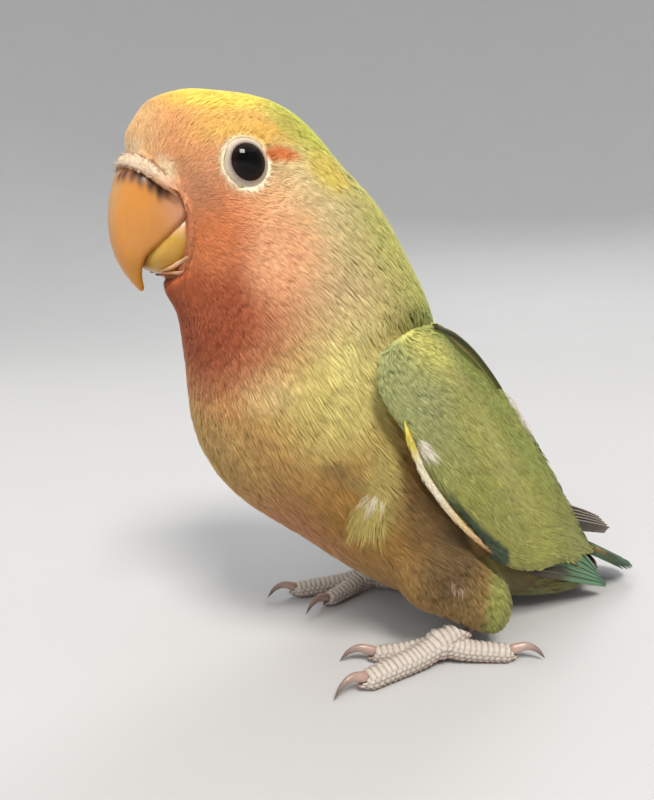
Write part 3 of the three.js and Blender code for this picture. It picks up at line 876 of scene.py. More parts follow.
spine_place = nearest(body.points, SPINE)
dorsal = ((body.points - SPINE[spine_place]) * SPINE_BACK[spine_place]).sum(1) > 0
grown = coat_size(body.points)
face = ~on_leg & (grown < 0.22)
cheeks = ~on_leg & (grown >= 0.22) & (grown < 0.55)
neck = ~on_leg & (grown >= 0.55) & (body.points[:, 2] - 0.35 * body.points[:, 1] > 56)
trunk = ~on_leg & ~face & ~cheeks & ~neck
left = body.points[:, 0] > 0
for piece in (  # name, slot, part of the hide, how far apart its tufts are, barbs to a tuft, fan, relief
    ("coat_face", "peach_plumage", face, 0.25, 9, 0.4, 0.25),
    ("coat_crown", "peach_plumage", cheeks & dorsal, 0.22, 26, 0.5, 0.3),
    ("coat_throat", "peach_plumage", cheeks & ~dorsal, 0.23, 26, 0.6, 0.3),
    ("coat_neck", "peach_plumage", neck, 0.25, 22, 0.7, 0.4),
    ("coat_breast_left", "breast_plumage", trunk & ~dorsal & left, 0.25, 30, 0.9, 0.4),
    ("coat_breast_right", "breast_plumage", trunk & ~dorsal & ~left, 0.25, 30, 0.9, 0.4),
    ("coat_back", "breast_plumage", trunk & dorsal, 0.26, 30, 0.9, 0.4),
    ("coat_legs", "leg_plumage", on_leg, 0.22, 20, 0.7, 0.4),
):
    body_coat(*piece)
for side in SIDES:
    wing_coat(side, blades=18, spacing=0.26)
    wing_fringe(side, blades=16)

# Eyes and lids


def formed(rows, columns, surface, colours):
    """A closed form rolled up from a grid. Its points, in the bird's millimetres, and its colours come from
    how far along it and how far round it they are, both from 0 to 1."""
    bm = bmesh.new()
    bm.loops.layers.uv.new("barbs")
    bmesh.ops.create_grid(bm, x_segments=columns, y_segments=rows, size=0.5, calc_uvs=True)
    flat = np.array([vert.co[:2] for vert in bm.verts]) + 0.5
    layer = bm.verts.layers.float_color.new("markings")
    points = np.asarray(surface(flat[:, 1], flat[:, 0])) / 1000 + FLOOR_POINT
    for vert, point, colour in zip(bm.verts, points, colours(flat[:, 1], flat[:, 0])):
        vert.co = point
        vert[layer] = (*np.clip(colour, 0, 1), 1)
    bmesh.ops.remove_doubles(bm, verts=bm.verts, dist=1e-6)
    bmesh.ops.recalc_face_normals(bm, faces=bm.faces)
    return bm


def joined(parts):
    """Several bmeshes as one."""
    whole = bmesh.new()
    for part in parts:
        mesh = modified(part)
        whole.from_mesh(mesh)
        bpy.data.meshes.remove(mesh)
    return whole


def sleeve(path, over, wide, thick, colours, rows=40, columns=14):
    """A tapering bar along a path: half its width and thickness at points along it, ends closed."""
    path = curve(path, rows + 1)
    along = unit(np.gradient(path, axis=0))
    over = unit(over - along * (over * along).sum(1, keepdims=True))
    across = np.cross(along, over)

    def surface(t, turn):
        row = np.rint(t * rows).astype(int)
        angle = turn * 2 * np.pi
        sideways = np.interp(t, *zip(*wide)) * np.cos(angle)
        upwards = np.interp(t, *zip(*thick)) * np.sin(angle)
        return path[row] + across[row] * sideways[:, None] + over[row] * upwards[:, None]

    return formed(rows, columns, surface, colours)


def painted(stops):
    """A way of colouring a piece along its length, from a list of how far along and which colour."""
    at, colours = zip(*stops)
    values = np.array([linear(colour) for colour in colours])
    return lambda t, turn: np.stack([np.interp(t, at, values[:, k]) for k in range(3)], 1)


LID_INNER = (0.38, 0.2)  # half width and slope of the ring's inner half, towards the eye
LID_OUTER = (0.85, 0.75)  # and of its outer half, which runs down under the coat
for side, sign in SIDES.items():
    axis = on_head(EYE_AXIS * (sign, 1, 1)) - HEAD_CENTRE
    centre = on_head(EYE_CENTRE * (sign, 1, 1))
    face_out = Matrix.Translation(centre) @ Vector(axis).to_track_quat("Z", "Y").to_matrix().to_4x4()
    bm = bmesh.new()
    bmesh.ops.create_uvsphere(bm, u_segments=64, v_segments=40, radius=EYE_RADIUS, matrix=face_out)
    bm.transform(TO_FRAME)
    eye = modified(bm)
    turn = np.degrees(np.arccos(np.clip(unit(places(eye) - centre) @ axis, -1, 1)))
    iris = (ramp(30, 33, turn) * ramp(56, 50, turn))[:, None]
    paint(eye, mix(linear("#050404"), linear("#1d0f0a"), iris))
    show("eyeball_" + side, eye, EYE, "eye", ["eye_" + side])

    bm = bmesh.new()
    ring = bmesh.ops.create_circle(bm, segments=16, radius=1)["verts"]
    for vert in ring:
        x, y = vert.co[:2]
        wide, slope = LID_INNER if x < 0 else LID_OUTER
        vert.co = (LID_RADIUS + wide * x, 0, LID_OUT - 0.12 + 0.17 * y - slope * x)
    bmesh.ops.spin(
        bm, geom=bm.edges[:], cent=(0, 0, 0), axis=(0, 0, 1), angle=2 * math.pi, steps=132, use_merge=True,
    )
    for vert in bm.verts:  # fine creases across the ring's upper face
        x, y, z = vert.co
        turn, away = math.atan2(y, x), math.hypot(x, y)
        outer = (away - LID_RADIUS) / 0.38
        crease = 0.035 * math.cos(31 * turn) + 0.03 * math.cos(53 * turn + 4 * outer)
        vert.co.z += crease * (0.6 + 0.4 * outer) if z > LID_OUT - 0.1 else 0
    bmesh.ops.recalc_face_normals(bm, faces=bm.faces)
    bm.transform(TO_FRAME @ face_out)
    lids = modified(bm)
    away = from_eye(places(lids), sign)[1]
    # The ring's bare skin is painted darker towards the front: a painted shade.
    ahead = ramp(-0.5, 1.5, EYE_CENTRE[1] - to_head(places(lids))[:, 1])[:, None]
    lid_skin_shaded_ahead = mix(linear("#9b8d82"), linear("#877b74"), ahead)
    rim = mix(linear("#403936"), lid_skin_shaded_ahead, ramp(2.34, 2.5, away)[:, None])
    paint(lids, mix(rim, linear("#cdbca9"), ramp(2.55, 2.9, away)[:, None]))
    show("lids_" + side, lids, WAXY, "peach_plumage")

# Bill, cere and the folds at the gape

BILL_PATCHES = [
    ("#bd8e58", (0, -18, -2), (2.4, 4, 6), 0.6),  # paler along the ridge: a painted highlight
    ("#c17f1d", (0, -15.5, -14.5), (3, 3, 4), 0.7),  # tip
    ("#c79270", (5.4, -7.5, -5), (2.5, 4.5, 4), 0.7),  # pinkish root
    ("#a06c46", (3.6, -15.0, -1.0), (3.6, 3.0, 1.2), 0.8),  # smudges under the cere
    ("#5c3620", (1.4, -17.2, -0.5), (0.45, 0.8, 1.2), 0.7),
    ("#4f2e1b", (2.3, -16.6, -0.8), (0.4, 0.7, 1.3), 0.7),
    ("#5c3620", (3.2, -15.8, -1.2), (0.4, 0.6, 1.1), 0.7),
    ("#452716", (3.9, -15.0, -1.8), (0.4, 0.6, 1.4), 0.7),
    ("#452716", (4.6, -14.0, -2.2), (0.4, 0.6, 1.3), 0.7),
    ("#3d2213", (5.1, -13.1, -2.9), (0.4, 0.6, 1.5), 0.7),
    ("#54331f", (5.5, -12.2, -3.2), (0.4, 0.6, 1.1), 0.7),
]
LOWER_BILL_PATCHES = [
    ("#dcb98a", (4.8, -7, -7), (2, 5, 2), 0.6),  # paler along its upper edge
    ("#d8ab86", (4.5, -4.5, -11), (3, 4, 4), 0.6),  # pinkish root
]


def mirrored_head(points):
    """Points in the head's frame, with X counted outward on either side."""
    head = to_head(points)
    head[:, 0] = np.abs(head[:, 0])
    return head


for name, base, patches, slot in (
    ("bill_upper", "#c18035", BILL_PATCHES, "upper_bill"),
    ("bill_lower", "#c09435", LOWER_BILL_PATCHES, "lower_bill"),
):
    horn = modified(cad_copy([name]), *voxels(0.22, 14))
    points = places(horn)
    head, facing = to_head(points), normals_of(horn) @ HEAD
    if name == "bill_upper":  # a thinner hook, hollow behind
        levels = np.arange(-17, -6, 0.5)
        ridge = [head[np.abs(head[:, 2] - level) < 0.4, 1].min(initial=-13) for level in levels]
        moved = np.zeros_like(head)
        moved[:, 1] = 0.3 * ramp(-8.5, -13, head[:, 2]) * (np.interp(head[:, 2], levels, ridge) - head[:, 1])
    else:  # pushed forward and up against the upper half
        moved = np.outer(ramp(0.2, 0.8, facing[:, 2]), (0, 0, 1.0)) + (0, 0, 0.5)
        moved[:, 1] -= 0.9 * ramp(-5, -9, head[:, 1])
    move_to(horn, on_head(head + moved))
    points = places(horn)
    paint(horn, patched(np.broadcast_to(linear(base), points.shape), mirrored_head(points), patches))
    faces = np.array([tuple(face.vertices) for face in horn.polygons])
    soft = normals_of(horn)
    for _ in range(14):  # no trace of the solid's flats
        soft = evened(faces, soft)
    show("horn_" + name, horn, HORN, slot, [name])
    horn.normals_split_custom_set_from_vertices(unit(soft).astype(np.float32))

CERE_SIDE = [  # the cere's line over the bill's root, on the left
    (6.6, -10.8, -3.4), (6.1, -12.4, -2.1), (5.3, -13.5, -1.0), (4.3, -14.5, 0.0), (2.8, -15.5, 0.8),
    (0.9, -16.1, 1.3),
]
CERE_WIDE = [(0, 0), (0.06, 0.5), (0.3, 1.05), (0.5, 1.0), (0.7, 1.05), (0.94, 0.5), (1, 0)]
CERE_THICK = [(0, 0), (0.08, 0.2), (0.35, 0.34), (0.5, 0.34), (0.65, 0.34), (0.92, 0.2), (1, 0)]
CERE_COLOURS = painted([(0, "#cf9a75"), (0.2, "#c6ac91"), (0.5, "#c4b19a"), (0.8, "#c6ac91"), (1, "#cf9a75")])
FILLET_WIDE = [(0, 0), (0.1, 0.4), (0.5, 0.55), (0.9, 0.4), (1, 0)]  # what closes the gap under the cere
FILLET_THICK = [(0, 0), (0.1, 0.4), (0.5, 0.5), (0.9, 0.4), (1, 0)]
# The fillet's brown is darker than the cere's: the bill's brownish root, with painted shade under the cere's
# lower edge.
FILLET_COLOURS = painted([(0, "#b98562"), (0.5, "#a98266"), (1, "#b98562")])


def both_sides(points):
    """A line given on the head's left side, from its outer end in, carried on to the right."""
    return on_head([(x * sign, y, z) for sign in (1, -1) for x, y, z in points[::sign]])


cere_line = curve(both_sides(CERE_SIDE), 91)
cere_over = unit(cere_line - on_head([0, -9, -6]))
cere_across = unit(np.cross(np.gradient(cere_line, axis=0), cere_over))
cere_path = cere_line - 0.1 * cere_over
fillet_path = cere_line - 0.4 * cere_over - 0.55 * cere_across
cere = modified(joined([
    sleeve(cere_path, cere_over, CERE_WIDE, CERE_THICK, CERE_COLOURS, rows=90, columns=20),
    sleeve(fillet_path, cere_over, FILLET_WIDE, FILLET_THICK, FILLET_COLOURS, rows=90),
]))
points, normals = places(cere), normals_of(cere)
nostril = np.linalg.norm(mirrored_head(points) - (3.3, -15.1, 1.2), axis=1)
lumps = 0.06 * np.sin(9.1 * points[:, 0] + 2) * np.sin(8.3 * points[:, 1]) + 0.05 * np.sin(14 * points.sum(1))
move_to(cere, points + normals * (lumps - 0.4 * ramp(0.6, 0.2, nostril))[:, None])
show("cere", cere, WAXY, "peach_plumage")


def short_feathers(name, mesh, colour, within=math.inf):
    """Short, flat tufts over a small piece, within some millimetres of the head's middle."""
    hide = Hide(mesh)
    allowed = np.abs(to_head(hide.points)[:, 0]) < within
    roots, normals, _ = scattered(hide, lambda p: np.full(len(p), 0.33), allowed)
    ways = body_lie(roots, normals, np.zeros(len(roots), bool))
    coat(
        name, "peach_plumage", hide, roots, normals, ways,
        lambda p: mix(linear(colour), body_markings(p), 0.35), 1.3 * chance.uniform(0.7, 1.2, len(roots)),
        slimness=0.3, depth=0.22, barb=0.035, blades=8, fan=0.4, relief=0.2, cling=0.3, closed=False,
    )


cere_base = modified(sleeve(
    cere_path, cere_over, [(0, 0.1), (0.1, 0.6), (0.5, 1.0), (0.9, 0.6), (1, 0.1)],
    [(0, 0.1), (0.5, 0.38), (1, 0.1)], CERE_COLOURS, rows=90, columns=20,
), *voxels(0.13, 2))
short_feathers("coat_cere", cere_base, "#e3d0b8", 5.4)

COLLAR = [  # the feathered skin's line from the cere's end down round the lower bill, on the left
    (6.0, -10.4, -3.6), (6.1, -9.2, -5.6), (5.95, -9.1, -8), (5.4, -9.1, -10.1), (4.4, -9.1, -12.1),
    (2.6, -9.5, -13.7),
]
collar_path = both_sides(COLLAR)
collar = modified(sleeve(
    collar_path, unit(curve(collar_path, 61) - on_head([0, -6, -7])),
    [(0, 0), (0.05, 0.6), (0.5, 1.0), (0.95, 0.6), (1, 0)],
    [(0, 0), (0.05, 0.5), (0.3, 0.85), (0.5, 1.0), (0.7, 0.85), (0.95, 0.5), (1, 0)],
    CERE_COLOURS, rows=60, columns=20,
), *voxels(0.2, 6))
paint(collar, mix(body_markings(places(collar)), linear("#b9785a"), 0.5))
show("mouth_corners", collar, SKIN, "peach_plumage")
short_feathers("coat_gape", collar, "#cf8a62")

FOLDS = [  # soft skin round the corner of the mouth and under the lower bill: its line, thickness, colours
    ([(5.6, -9.2, -11.6), (4.2, -10.5, -12.7), (3.1, -11.7, -13.4), (1.5, -13.2, -13.9)], 0.32,
     [(0, "#c98f68"), (0.4, "#dcb590"), (1, "#c98a4c")]),
    ([(5.2, -8.4, -12.8), (3.9, -10.2, -13.8), (2.4, -11.8, -14.4), (0.8, -12.8, -14.7)], 0.3,
     [(0, "#c57c58"), (0.5, "#d3a07c"), (1, "#bd7048")]),
]
skin_near = tree_of(["head", "neck", "bill_lower"])
folds = []
for line, thick, colours in FOLDS:
    for sign in SIDES.values():
        path = on_head([(x * sign, y, z) for x, y, z in line])
        path = np.array([np.array(skin_near.find_nearest(p)[0]) for p in path / 1000 + FLOOR_POINT])
        path = (path - FLOOR_POINT) * 1000
        wide = [(0, 0), (0.15, 0.8 * thick), (0.5, thick), (0.85, 0.7 * thick), (1, 0)]
        high = [(t, 0.45 * w) for t, w in wide]
        over = unit(path.mean(0) - on_head([0, -6, -7]))
        folds.append(sleeve(path, over, wide, high, painted(colours), rows=30, columns=12))
show("gape_folds", modified(joined(folds)), WAXY, "peach_plumage")

# Feet and claws


LINE_POINTS = 80  # on the middle line of each toe and shank


def toe_line(side, name):
    """The middle of a toe, from the ankle to its end, and its radius."""
    (out, back), stout = TOES[name]
    radius = TOE_RADIUS * stout
    reach = np.array([out * SIDES[side], back, 0])
    ankle = ANKLE * (SIDES[side], 1, 1)
    heights = [ANKLE[2], 2, 0.92 * radius, 0.72 * radius]
    stations = [ankle * (1, 1, 0) + reach * t + (0, 0, z) for t, z in zip((0, 0.3, 0.65, 1), heights)]
    return curve(stations, LINE_POINTS), radius


SCUTE = 0.95  # spacing of the plates along a toe


def scaled_foot(side):
    """A foot's skin: plates over the top of each toe, beads at its sides and a soft sole."""
    skin = modified(cad_copy(["foot_" + side]), *voxels(0.17, 16))
    points, normals = places(skin), normals_of(skin)
    lines = [toe_line(side, name)[0] for name in TOES]
    shank = curve(np.array([ANKLE, (13.8, 4, 5), (14.2, 8.5, 7.5)]) * (SIDES[side], 1, 1), LINE_POINTS)
    lines.append(shank)
    gaps = np.stack([np.linalg.norm(points - line[nearest(points, line)], axis=1) for line in lines])
    owner = gaps.argmin(0)
    along, left_over, angle = np.zeros((3, len(points)))
    inward = np.zeros_like(points)
    for k, line in enumerate(lines):
        mine = owner == k
        place = nearest(points[mine], line)
        length = np.linalg.norm(np.diff(line, axis=0), axis=1).sum()
        tangent = unit(np.gradient(line, axis=0))[place]
        offset = points[mine] - line[place]
        offset = offset - tangent * (offset * tangent).sum(1, keepdims=True)
        beyond = ((points[mine] - line[place]) * tangent).sum(1)
        along[mine] = place / (LINE_POINTS - 1) * length + beyond
        left_over[mine] = length - along[mine] if k < len(TOES) else length
        angle[mine] = np.arctan2((offset * np.cross(tangent, [0, 0, 1.0])).sum(1), offset[:, 2])
        inward[mine] = -offset
    narrowed = 0.62 * ramp(1.9, -0.4, left_over) + 0.22 * ramp(1.3, 0, points[:, 2])
    points = points + inward * narrowed[:, None] * (1, 1, 0.8)
    phase = along / SCUTE + 0.05 * np.sin(2.3 * along) + 0.12 * angle**2
    top = ramp(1.25, 0.95, np.abs(angle))
    plate = np.abs(np.sin(np.pi * phase)) ** 0.6
    beads = np.abs(np.sin(np.pi * (phase + 0.5 * np.floor(angle / 0.5))) * np.sin(np.pi * angle / 0.5)) ** 0.6
    raised = mix(0.2 * beads, 0.3 * plate, top)
    clear = ramp(0.05, 0.5, points[:, 2])
    points = points + normals * ((raised - 0.08) * clear)[:, None]
    points[:, 2] -= points[:, 2].min() * ramp(1.6, 0.4, points[:, 2])  # its soles on the floor
    move_to(skin, points)
    # Crests of the plates and beads are painted lighter and the grooves between them darker: painted
    # highlights and shade.
    colours = mix(linear("#8d8178"), linear("#bfb5aa"), ramp(0.1, 0.8, mix(beads, plate, top))[:, None])
    paint(skin, mix(linear("#98796a"), colours, ramp(2.4, 1.9, np.abs(angle))[:, None]))
    show("foot_skin_" + side, skin, SCALES, "foot_scales", ["foot_" + side])


for side in SIDES:
    scaled_foot(side)
    claws = []
    for name in TOES:
        radius = toe_line(side, name)[1]
        (out, back), _ = TOES[name]
        way = unit(np.array([out * SIDES[side], back, 0]))
        root = ANKLE * (SIDES[side], 1, 0)
        length = math.hypot(out, back)
        steps = [(-1.2, radius), (-0.2, 1.28 * radius), (1.6, 1.52 * radius), (3.3, 1.12 * radius)]
        steps.append((CLAW_LENGTH, 0.35))
        stations = [root + way * (length + step) + (0, 0, height) for step, height in steps]
        claws.append(sleeve(
            stations, np.array([0, 0, 1.0]), [(0, 0.4), (0.1, 0.66), (0.4, 0.56), (0.8, 0.28), (1, 0.0)],
            [(0, 0.5), (0.1, 0.86), (0.4, 0.68), (0.8, 0.32), (1, 0.0)],
            painted([(0, "#a88a7d"), (0.3, "#ab9084"), (0.7, "#7d6a62"), (1, "#4f433f")]), rows=28,
        ))
    show("claws_" + side, modified(joined(claws)), HORN, "claw", [f"claw_{side}_{name}" for name in TOES])

# The wing's pale front edge, and fluff

STRIP_WIDE = [(0, 0), (0.06, 0.4), (0.3, 0.48), (0.7, 0.42), (0.9, 0.22), (1, 0)]
STRIP_THICK = [(0, 0), (0.06, 0.25), (0.5, 0.25), (0.9, 0.16), (1, 0)]
STRIP_COLOURS = painted([
    (0, "#cfbf4e"), (0.12, "#e2cf62"), (0.2, "#efe4c2"), (0.4, "#efe3c8"), (0.6, "#e6cf9c"),
    (0.85, "#c79c6d"), (0.95, "#75513c"), (1, "#5d4033"),
])
for side in SIDES:
    line = folded(np.array(WING_STRIP), side)
    strip = (line, outward(side), STRIP_WIDE, STRIP_THICK, STRIP_COLOURS, 80)
    show("wing_edge_" + side, modified(sleeve(*strip)), PLUMAGE, "wing_plumage")
    hide = Hide(modified(sleeve(*strip), *voxels(0.12, 2)))
    allowed = hide.normals @ outward(side) > -0.2
    roots, normals, _ = scattered(hide, lambda p: np.full(len(p), 0.4), allowed)
    line = curve(line, 120)
    down = unit(np.gradient(line, axis=0))[nearest(roots, line)]
    ways = unit(down - normals * (down * normals).sum(1, keepdims=True))
    coat(
        "coat_edge_" + side, "wing_plumage", hide, roots, normals, ways,
        lambda p: STRIP_COLOURS(nearest(p, line) / (len(line) - 1), None),
        mix(1.4, 2.6, chance.random(len(roots))), slimness=0.16, depth=0.3, barb=0.04, blades=8,
        fan=0.6, vary=1.6, relief=0.3, cling=0.3, closed=False,
    )


def fluff(name, slot, hide, middle, way, colour, radius, count, length, depth, barb=0.05, spread=0.16):
    """Soft feathers standing a little out of the coat, from roots within a radius of a middle."""
    where = chance.choice(np.flatnonzero(np.linalg.norm(hide.points - middle, axis=1) < radius), count)
    roots, normals = hide.points[where], hide.normals[where]
    ways = unit(np.asarray(way, float) + chance.normal(0, spread, (count, 3)))
    ways = unit(ways - normals * (ways * normals).sum(1, keepdims=True))
    sizes = length * chance.uniform(0.6, 1.2, count)

    def markings(points):
        return linear(colour) * chance.uniform(0.75, 1.1, (len(points), 1))

    coat(
        name, slot, hide, roots, normals, ways, markings, sizes,
        slimness=0.14, depth=depth, barb=barb, blades=16, closed=False,
    )


fluff(
    "fluff_wing", "wing_plumage", wings["left"], (19.9, -9.0, 37.6), (0, 0.7, -0.85), "#e8decb",
    radius=1.3, count=12, length=5.0, depth=1.3, barb=0.03, spread=0.12,
)
fluff(
    "fluff_side", "breast_plumage", body, (16.6, -12.6, 30.2), (0, -0.16, -1), "#c3b165",
    radius=2.4, count=32, length=9.5, depth=1.4, spread=0.18,
)
fluff(
    "fluff_flank", "breast_plumage", body, (16.7, -12.5, 31), (0, -0.3, -0.9), "#ebe0bd",
    radius=1.1, count=6, length=5.5, depth=1.7, barb=0.026, spread=0.25,
)

WISP = [(0, 0.07), (0.6, 0.05), (1, 0)]
WISP_COLOURS = painted([(0, "#b9ab8c"), (1, "#eadfd2")])
wisps = []
for _ in range(20):  # long down along the back of the left wing
    y = chance.uniform(16.5, 22.5)
    spot, out, _, _ = wings["left"].tree.find_nearest((4, y, 44.5 - 1.14 * (y - 15)))
    root = np.array(spot) - 0.2 * np.array(out)
    reach = chance.uniform(4, 7)
    bow = chance.uniform(0.3, 1.2)
    middle = root + (0, 0.42 * reach + bow, -0.4 * reach + 0.5 * bow)
    end = root + (0, 0.72 * reach + bow, -0.95 * reach)
    over = np.array([1.0, 0, 0])
    wisps.append(sleeve([root, middle, end], over, WISP, WISP, WISP_COLOURS, rows=12, columns=6))
show("fluff_back", modified(joined(wisps)), PLUMAGE, "wing_plumage")
for side, sign in SIDES.items():
    fluff(
        "fluff_vent_" + side, "breast_plumage", body, (5 * sign, 25, 5), (0, 1.0, -0.1), "#7d8049",
        radius=7, count=90, length=5, depth=1.5,
    )
fluff(
    "fluff_thigh", "leg_plumage", body, (17.3, 0.6, 15.5), (0, 0.1, -1), "#a88c76",
    radius=1.8, count=4, length=3.0, depth=1.2, barb=0.035,
)

# Flight and tail feathers


def vane(root, tip, upward, half_widths, sag, colours, taper=1.0, rows=46, columns=12):
    """A feather: its vane swept back from a raised shaft, cambered, with a ragged rounded end. Sag is how far
    its middle bows out, and taper how wide its tip is beside its root."""
    root, tip = np.asarray(root, float), np.asarray(tip, float)
    along = unit(tip - root)
    upward = unit(upward - along * (upward @ along))
    across = np.cross(along, upward)
    length = np.linalg.norm(tip - root)
    ragged = chance.normal(0, 0.02, (rows + 1, 2))

    def surface(t, u):
        side = u * 2 - 1
        row = np.rint(t * rows).astype(int)
        half = np.where(side < 0, half_widths[0], half_widths[1])
        half = half * mix(0.45, 1, ramp(0, 0.25, t)) * mix(1, taper, t)
        half = half * np.sqrt(np.maximum(1 - np.maximum(t - 0.1, 0) ** 5, 0.0))  # its rounded end
        half = half * (1 + ragged[row, (side > 0).astype(int)] * np.abs(side) ** 4)
        swept = t * length * 0.97 + 0.35 * half * np.abs(side) * (1 - t)
        rise = 4 * sag * t * (1 - t) - 0.16 * half * side**2
        return root + np.outer(swept, along) + np.outer(half * side, across) + np.outer(rise, upward)

    bm = bmesh.new()
    blade = formed(rows, columns, surface, colours)
    bm.from_mesh(modified(blade, ("SOLIDIFY", {"thickness": 0.00014, "offset": 0.0})))
    stations = [
        root + along * length * t + upward * (4 * sag * t * (1 - t) + 0.08) for t in (0, 0.3, 0.6, 0.93)
    ]
    shaft = sleeve(
        stations, upward, [(0, 0.28), (0.5, 0.2), (1, 0.04)], [(0, 0.24), (0.5, 0.17), (1, 0.03)],
        painted([(0, "#6f6a58"), (0.5, "#4a4a3c"), (1, "#3a3d30")]), rows=24, columns=8,
    )
    bm.from_mesh(modified(shaft))
    return bm


def vane_colours(stops, edge, edge_colour, start):
    """Colours of a vane from stops along it, one edge tinted from start, at 0 to 1 from the shaft, out."""
    along = painted(stops)

    def colours(t, u):
        side = u * 2 - 1
        return mix(along(t, u), linear(edge_colour), ramp(start, start + 0.35, side * edge)[:, None])

    return colours


TEAL = [(0, "#4a5238"), (0.2, "#587c5a"), (0.9, "#5b8768"), (1, "#49604f")]
LOWEST = [(0, "#33291f"), (0.4, "#43392a"), (0.55, "#567a5a"), (0.9, "#5b8768"), (1, "#49604f")]
DUSKY = [(0, "#4d5040"), (0.5, "#5f574d"), (0.9, "#6a5f55"), (1, "#81766b")]
PRIMARIES = {  # the lowest and the highest feather's roots, and their tips, colours, pale edge, taper, widths
    "left": (
        ((12.6, 15.5, 13.2), (7.6, 29, 14)), ((7.0, 42.6, 2.6), (6.4, 39.8, 5.0)), TEAL, "#9db08c", 0.6,
        (1.3, 1.9),
    ),
    "right": (
        ((7.2, 26.9, 13.7), (5.3, 29.8, 17.2)), ((6.4, 57, 7.0), (5.6, 53, 9.6)), DUSKY, "#a39a8e", 0.8,
        (1.7, 2.3),
    ),
}
for side, (roots, tips, finish, edge, taper, widths) in PRIMARIES.items():
    sign = SIDES[side]
    facing = np.array([0.86 * sign, 0.1, 0.5])
    feathers = []
    for k in range(5):
        start = mix(*np.array(roots), k / 4) * (sign, 1, 1) + facing * 0.22 * k
        end = mix(*np.array(tips), k / 4) * (sign, 1, 1) + facing * 0.16 * k
        lowest = side == "left" and k < 2
        colours = vane_colours(LOWEST if lowest else finish, -sign, edge, start=0.7)
        halves = (0.9, 1.3) if lowest else widths
        feathers.append(vane(start, end, facing, halves, sag=0.5, colours=colours, taper=taper))
    show("primary_vanes_" + side, modified(joined(feathers)), VANE, "flight_feathers", ["primaries_" + side])

SCAPULAR_LINE = np.array([(11.5, -4, 54.5), (7.2, 5, 52.3), (4.0, 18, 43.2)])  # before it is laid on the wing
SCAPULAR_AND_SHADE_VANES = [  # how far each is shifted outward and up, its half width, colours and edge
    # The first is no feather but a dark, narrow sheet along the second's outer edge: a painted shadow line.
    (1.5, 0.2, 0.3, [(0, "#6a6c3f"), (0.4, "#595d36"), (1, "#646a3e")], "#646a3e"),
    (0.75, 0.2, 0.8, [(0, "#8f8a58"), (0.4, "#7d7d4c"), (1, "#7c8048")], "#c9ad78"),
]
for side, sign in SIDES.items():
    spots = [wings[side].tree.find_nearest(p) for p in folded(SCAPULAR_LINE, side)]
    facing = unit(sum(np.array(normal) for _, normal, _, _ in spots) + (0.35 * sign, 0, 0))
    feathers = []
    for shift, lift, half, stops, edge in SCAPULAR_AND_SHADE_VANES:
        root, middle, tip = (np.array(spot) + lift * facing + (shift * sign, 0, 0) for spot, _, _, _ in spots)
        arch = facing @ (middle - (root + tip) / 2)
        root, tip = root - 0.7 * facing, tip - 1.1 * facing  # both ends under the coat
        colours = vane_colours(stops, -sign, edge, start=0.4)
        feathers.append(vane(root, tip, facing, (half, half), arch, colours, taper=0.7))
    show("scapular_and_shade_vanes_" + side, modified(joined(feathers)), VANE, "wing_plumage")

SIDE_GREEN = [(0, "#5d7048"), (0.6, "#55683f"), (1, "#3f5340")]
GREEN = [(0, "#6f8f5a"), (0.5, "#67864e"), (0.85, "#4f6a48"), (1, "#4b7a78")]
BANDED = [
    (0, "#6f8f5a"), (0.42, "#7a8a4e"), (0.5, "#cf7434"), (0.66, "#cc6a30"), (0.72, "#26261e"),
    (0.82, "#26261e"), (0.88, "#5a8a84"), (1, "#5a8a84"),
]
down_tail = unit(TAIL_TIP - TAIL_ROOT)
tail_over = unit(np.array([0, 0, 1.0]) - down_tail * down_tail[2])
tail_feathers = []
for k in range(5, -1, -1):  # from the outermost pair to the middle one
    for sign in (1, -1):
        start = TAIL_ROOT + (0.55 * k * sign, 0, 0) + tail_over * (1.2 - 0.28 * k)
        end = TAIL_TIP + (0.75 * k * sign, 0, 0) - down_tail * 0.26 * k**2 + tail_over * (1.1 - 0.3 * k)
        outer, inner = (1.5, 2.3) if k else (2.0, 2.0)
        widths = (inner, outer) if sign < 0 else (outer, inner)
        stops = GREEN if k < 1 else SIDE_GREEN if k > 2 else BANDED
        colours = vane_colours(stops, sign, "#3f5238", start=0.05 if k > 3 else 0.6)
        tail_feathers.append(vane(start, end, tail_over, widths, sag=0.4, colours=colours))
show("tail_vanes", modified(joined(tail_feathers)), VANE, "tail_feathers", ["tail"])

# Light, floor and camera


def floor_surface(tree):
    place = node(tree, "TexCoord").outputs["Object"]
    cloud = node(tree, "TexNoise", {"Vector": place, "Scale": 12.0}).outputs["Fac"]
    shade = node(tree, "MapRange", {"Value": cloud, "To Min": 0.5, "To Max": 0.52}).outputs["Result"]
    colour = node(tree, "CombineColor", {"Red": shade, "Green": shade, "Blue": shade}).outputs["Color"]
    return node(tree, "BsdfPrincipled", {"Base Color": colour, "Roughness": 0.8}).outputs["BSDF"]


# Pale paper: quite matt, with the faintest clouding, 80 mm across.
PAPER = material("pale_paper", floor_surface)
FLAT, COVE, WALL = 0.8, 2.0, 1.0  # metres: the floor's flat, the curve round it and the wall above that
bm = bmesh.new()
profile = [bm.verts.new((x, 0, 0)) for x in (0, FLAT / 2, FLAT)]
for degrees in range(10, 91, 10):
    angle = math.radians(degrees)
    profile.append(bm.verts.new((FLAT + COVE * math.sin(angle), 0, COVE - COVE * math.cos(angle))))
profile.append(bm.verts.new((FLAT + COVE, 0, COVE + WALL)))
for low, high in zip(profile, profile[1:]):
    bm.edges.new((low, high))
bmesh.ops.spin(
    bm, geom=bm.edges[:], cent=(0, 0, 0), axis=(0, 0, 1), angle=2 * math.pi, steps=72, use_merge=True,
)
bmesh.ops.remove_doubles(bm, verts=bm.verts, dist=1e-5)
floor_mesh = bpy.data.meshes.new("floor")
bm.to_mesh(floor_mesh)
bm.free()
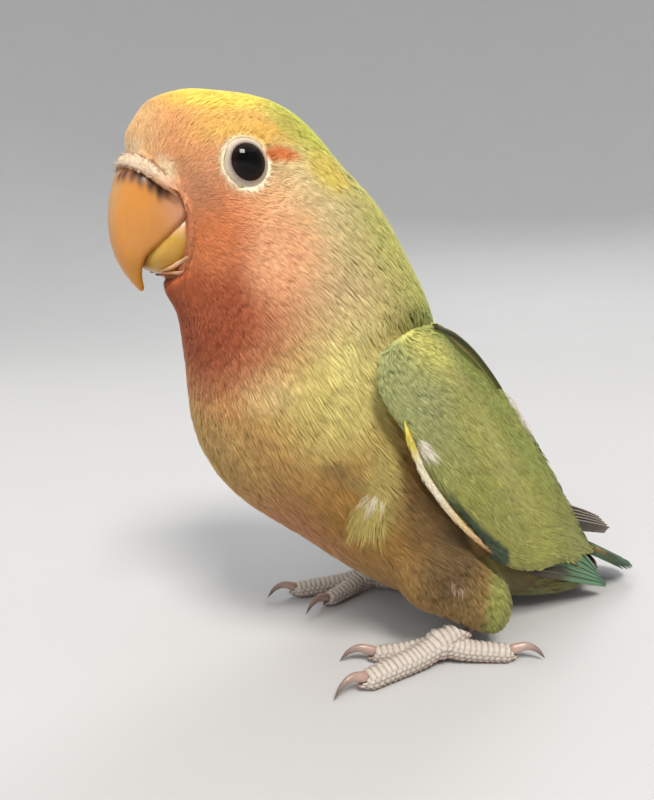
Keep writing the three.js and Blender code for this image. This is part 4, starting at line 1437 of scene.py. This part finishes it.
floor_mesh.polygons.foreach_set("use_smooth", np.ones(len(floor_mesh.polygons), bool))
floor_mesh.materials.append(PAPER)
floor = bpy.data.objects.new("floor", floor_mesh)
bpy.context.scene.collection.objects.link(floor)

world = bpy.data.worlds.new("studio")
bpy.context.scene.world = world
world.use_nodes = True
sky = world.node_tree.nodes["Background"].inputs
sky["Color"].default_value = (0.95, 0.97, 1.0, 1)
sky["Strength"].default_value = 0.8


def soft_light(name, place, target, size, power, colour, mirrored=True):
    """A square light in the bird's millimetres, its power in watts, seen in the eye only if mirrored."""
    data = bpy.data.lights.new(name, "AREA")
    data.size = size / 1000
    data.energy = power
    data.color = colour
    lamp = bpy.data.objects.new(name, data)
    bpy.context.scene.collection.objects.link(lamp)
    lamp.visible_glossy = mirrored
    lamp.location = TO_FRAME @ Vector(place)
    lamp.rotation_euler = (Vector(place) - Vector(target)).to_track_quat("Z", "Y").to_euler()


soft_light("key", (1010, -170, 1400), (0, -10, 50), size=520, power=29.0, colour=(1, 0.95, 0.88))
soft_light(
    "fill", (730, -1290, 1060), (0, 0, 40), size=900, power=9.8, colour=(0.95, 0.97, 1), mirrored=False,
)
soft_light("rim", (-900, 900, 1100), (0, 0, 50), size=700, power=9.0, colour=(1, 1, 1), mirrored=False)

CAMERA_PLACE = (89.4, -50, 55.3)
CAMERA_AZIMUTH = 68  # degrees
CAMERA_PITCH = 8.3  # degrees below level
FOCAL_PIXELS = 600  # for a picture this many pixels high
IMAGE_HEIGHT = 800
SENSOR = 36  # millimetres
camera_data = bpy.data.cameras.new("camera")
camera_data.sensor_width = SENSOR
camera_data.lens = FOCAL_PIXELS * SENSOR / IMAGE_HEIGHT
camera_data.clip_start = 0.005
camera_data.clip_end = 200
camera = bpy.data.objects.new("camera", camera_data)
bpy.context.scene.collection.objects.link(camera)
camera.location = TO_FRAME @ Vector(CAMERA_PLACE)
camera.rotation_euler = (math.radians(90 - CAMERA_PITCH), 0, math.radians(CAMERA_AZIMUTH))
bpy.context.scene.camera = camera
bpy.context.scene.view_settings.view_transform = "Standard"
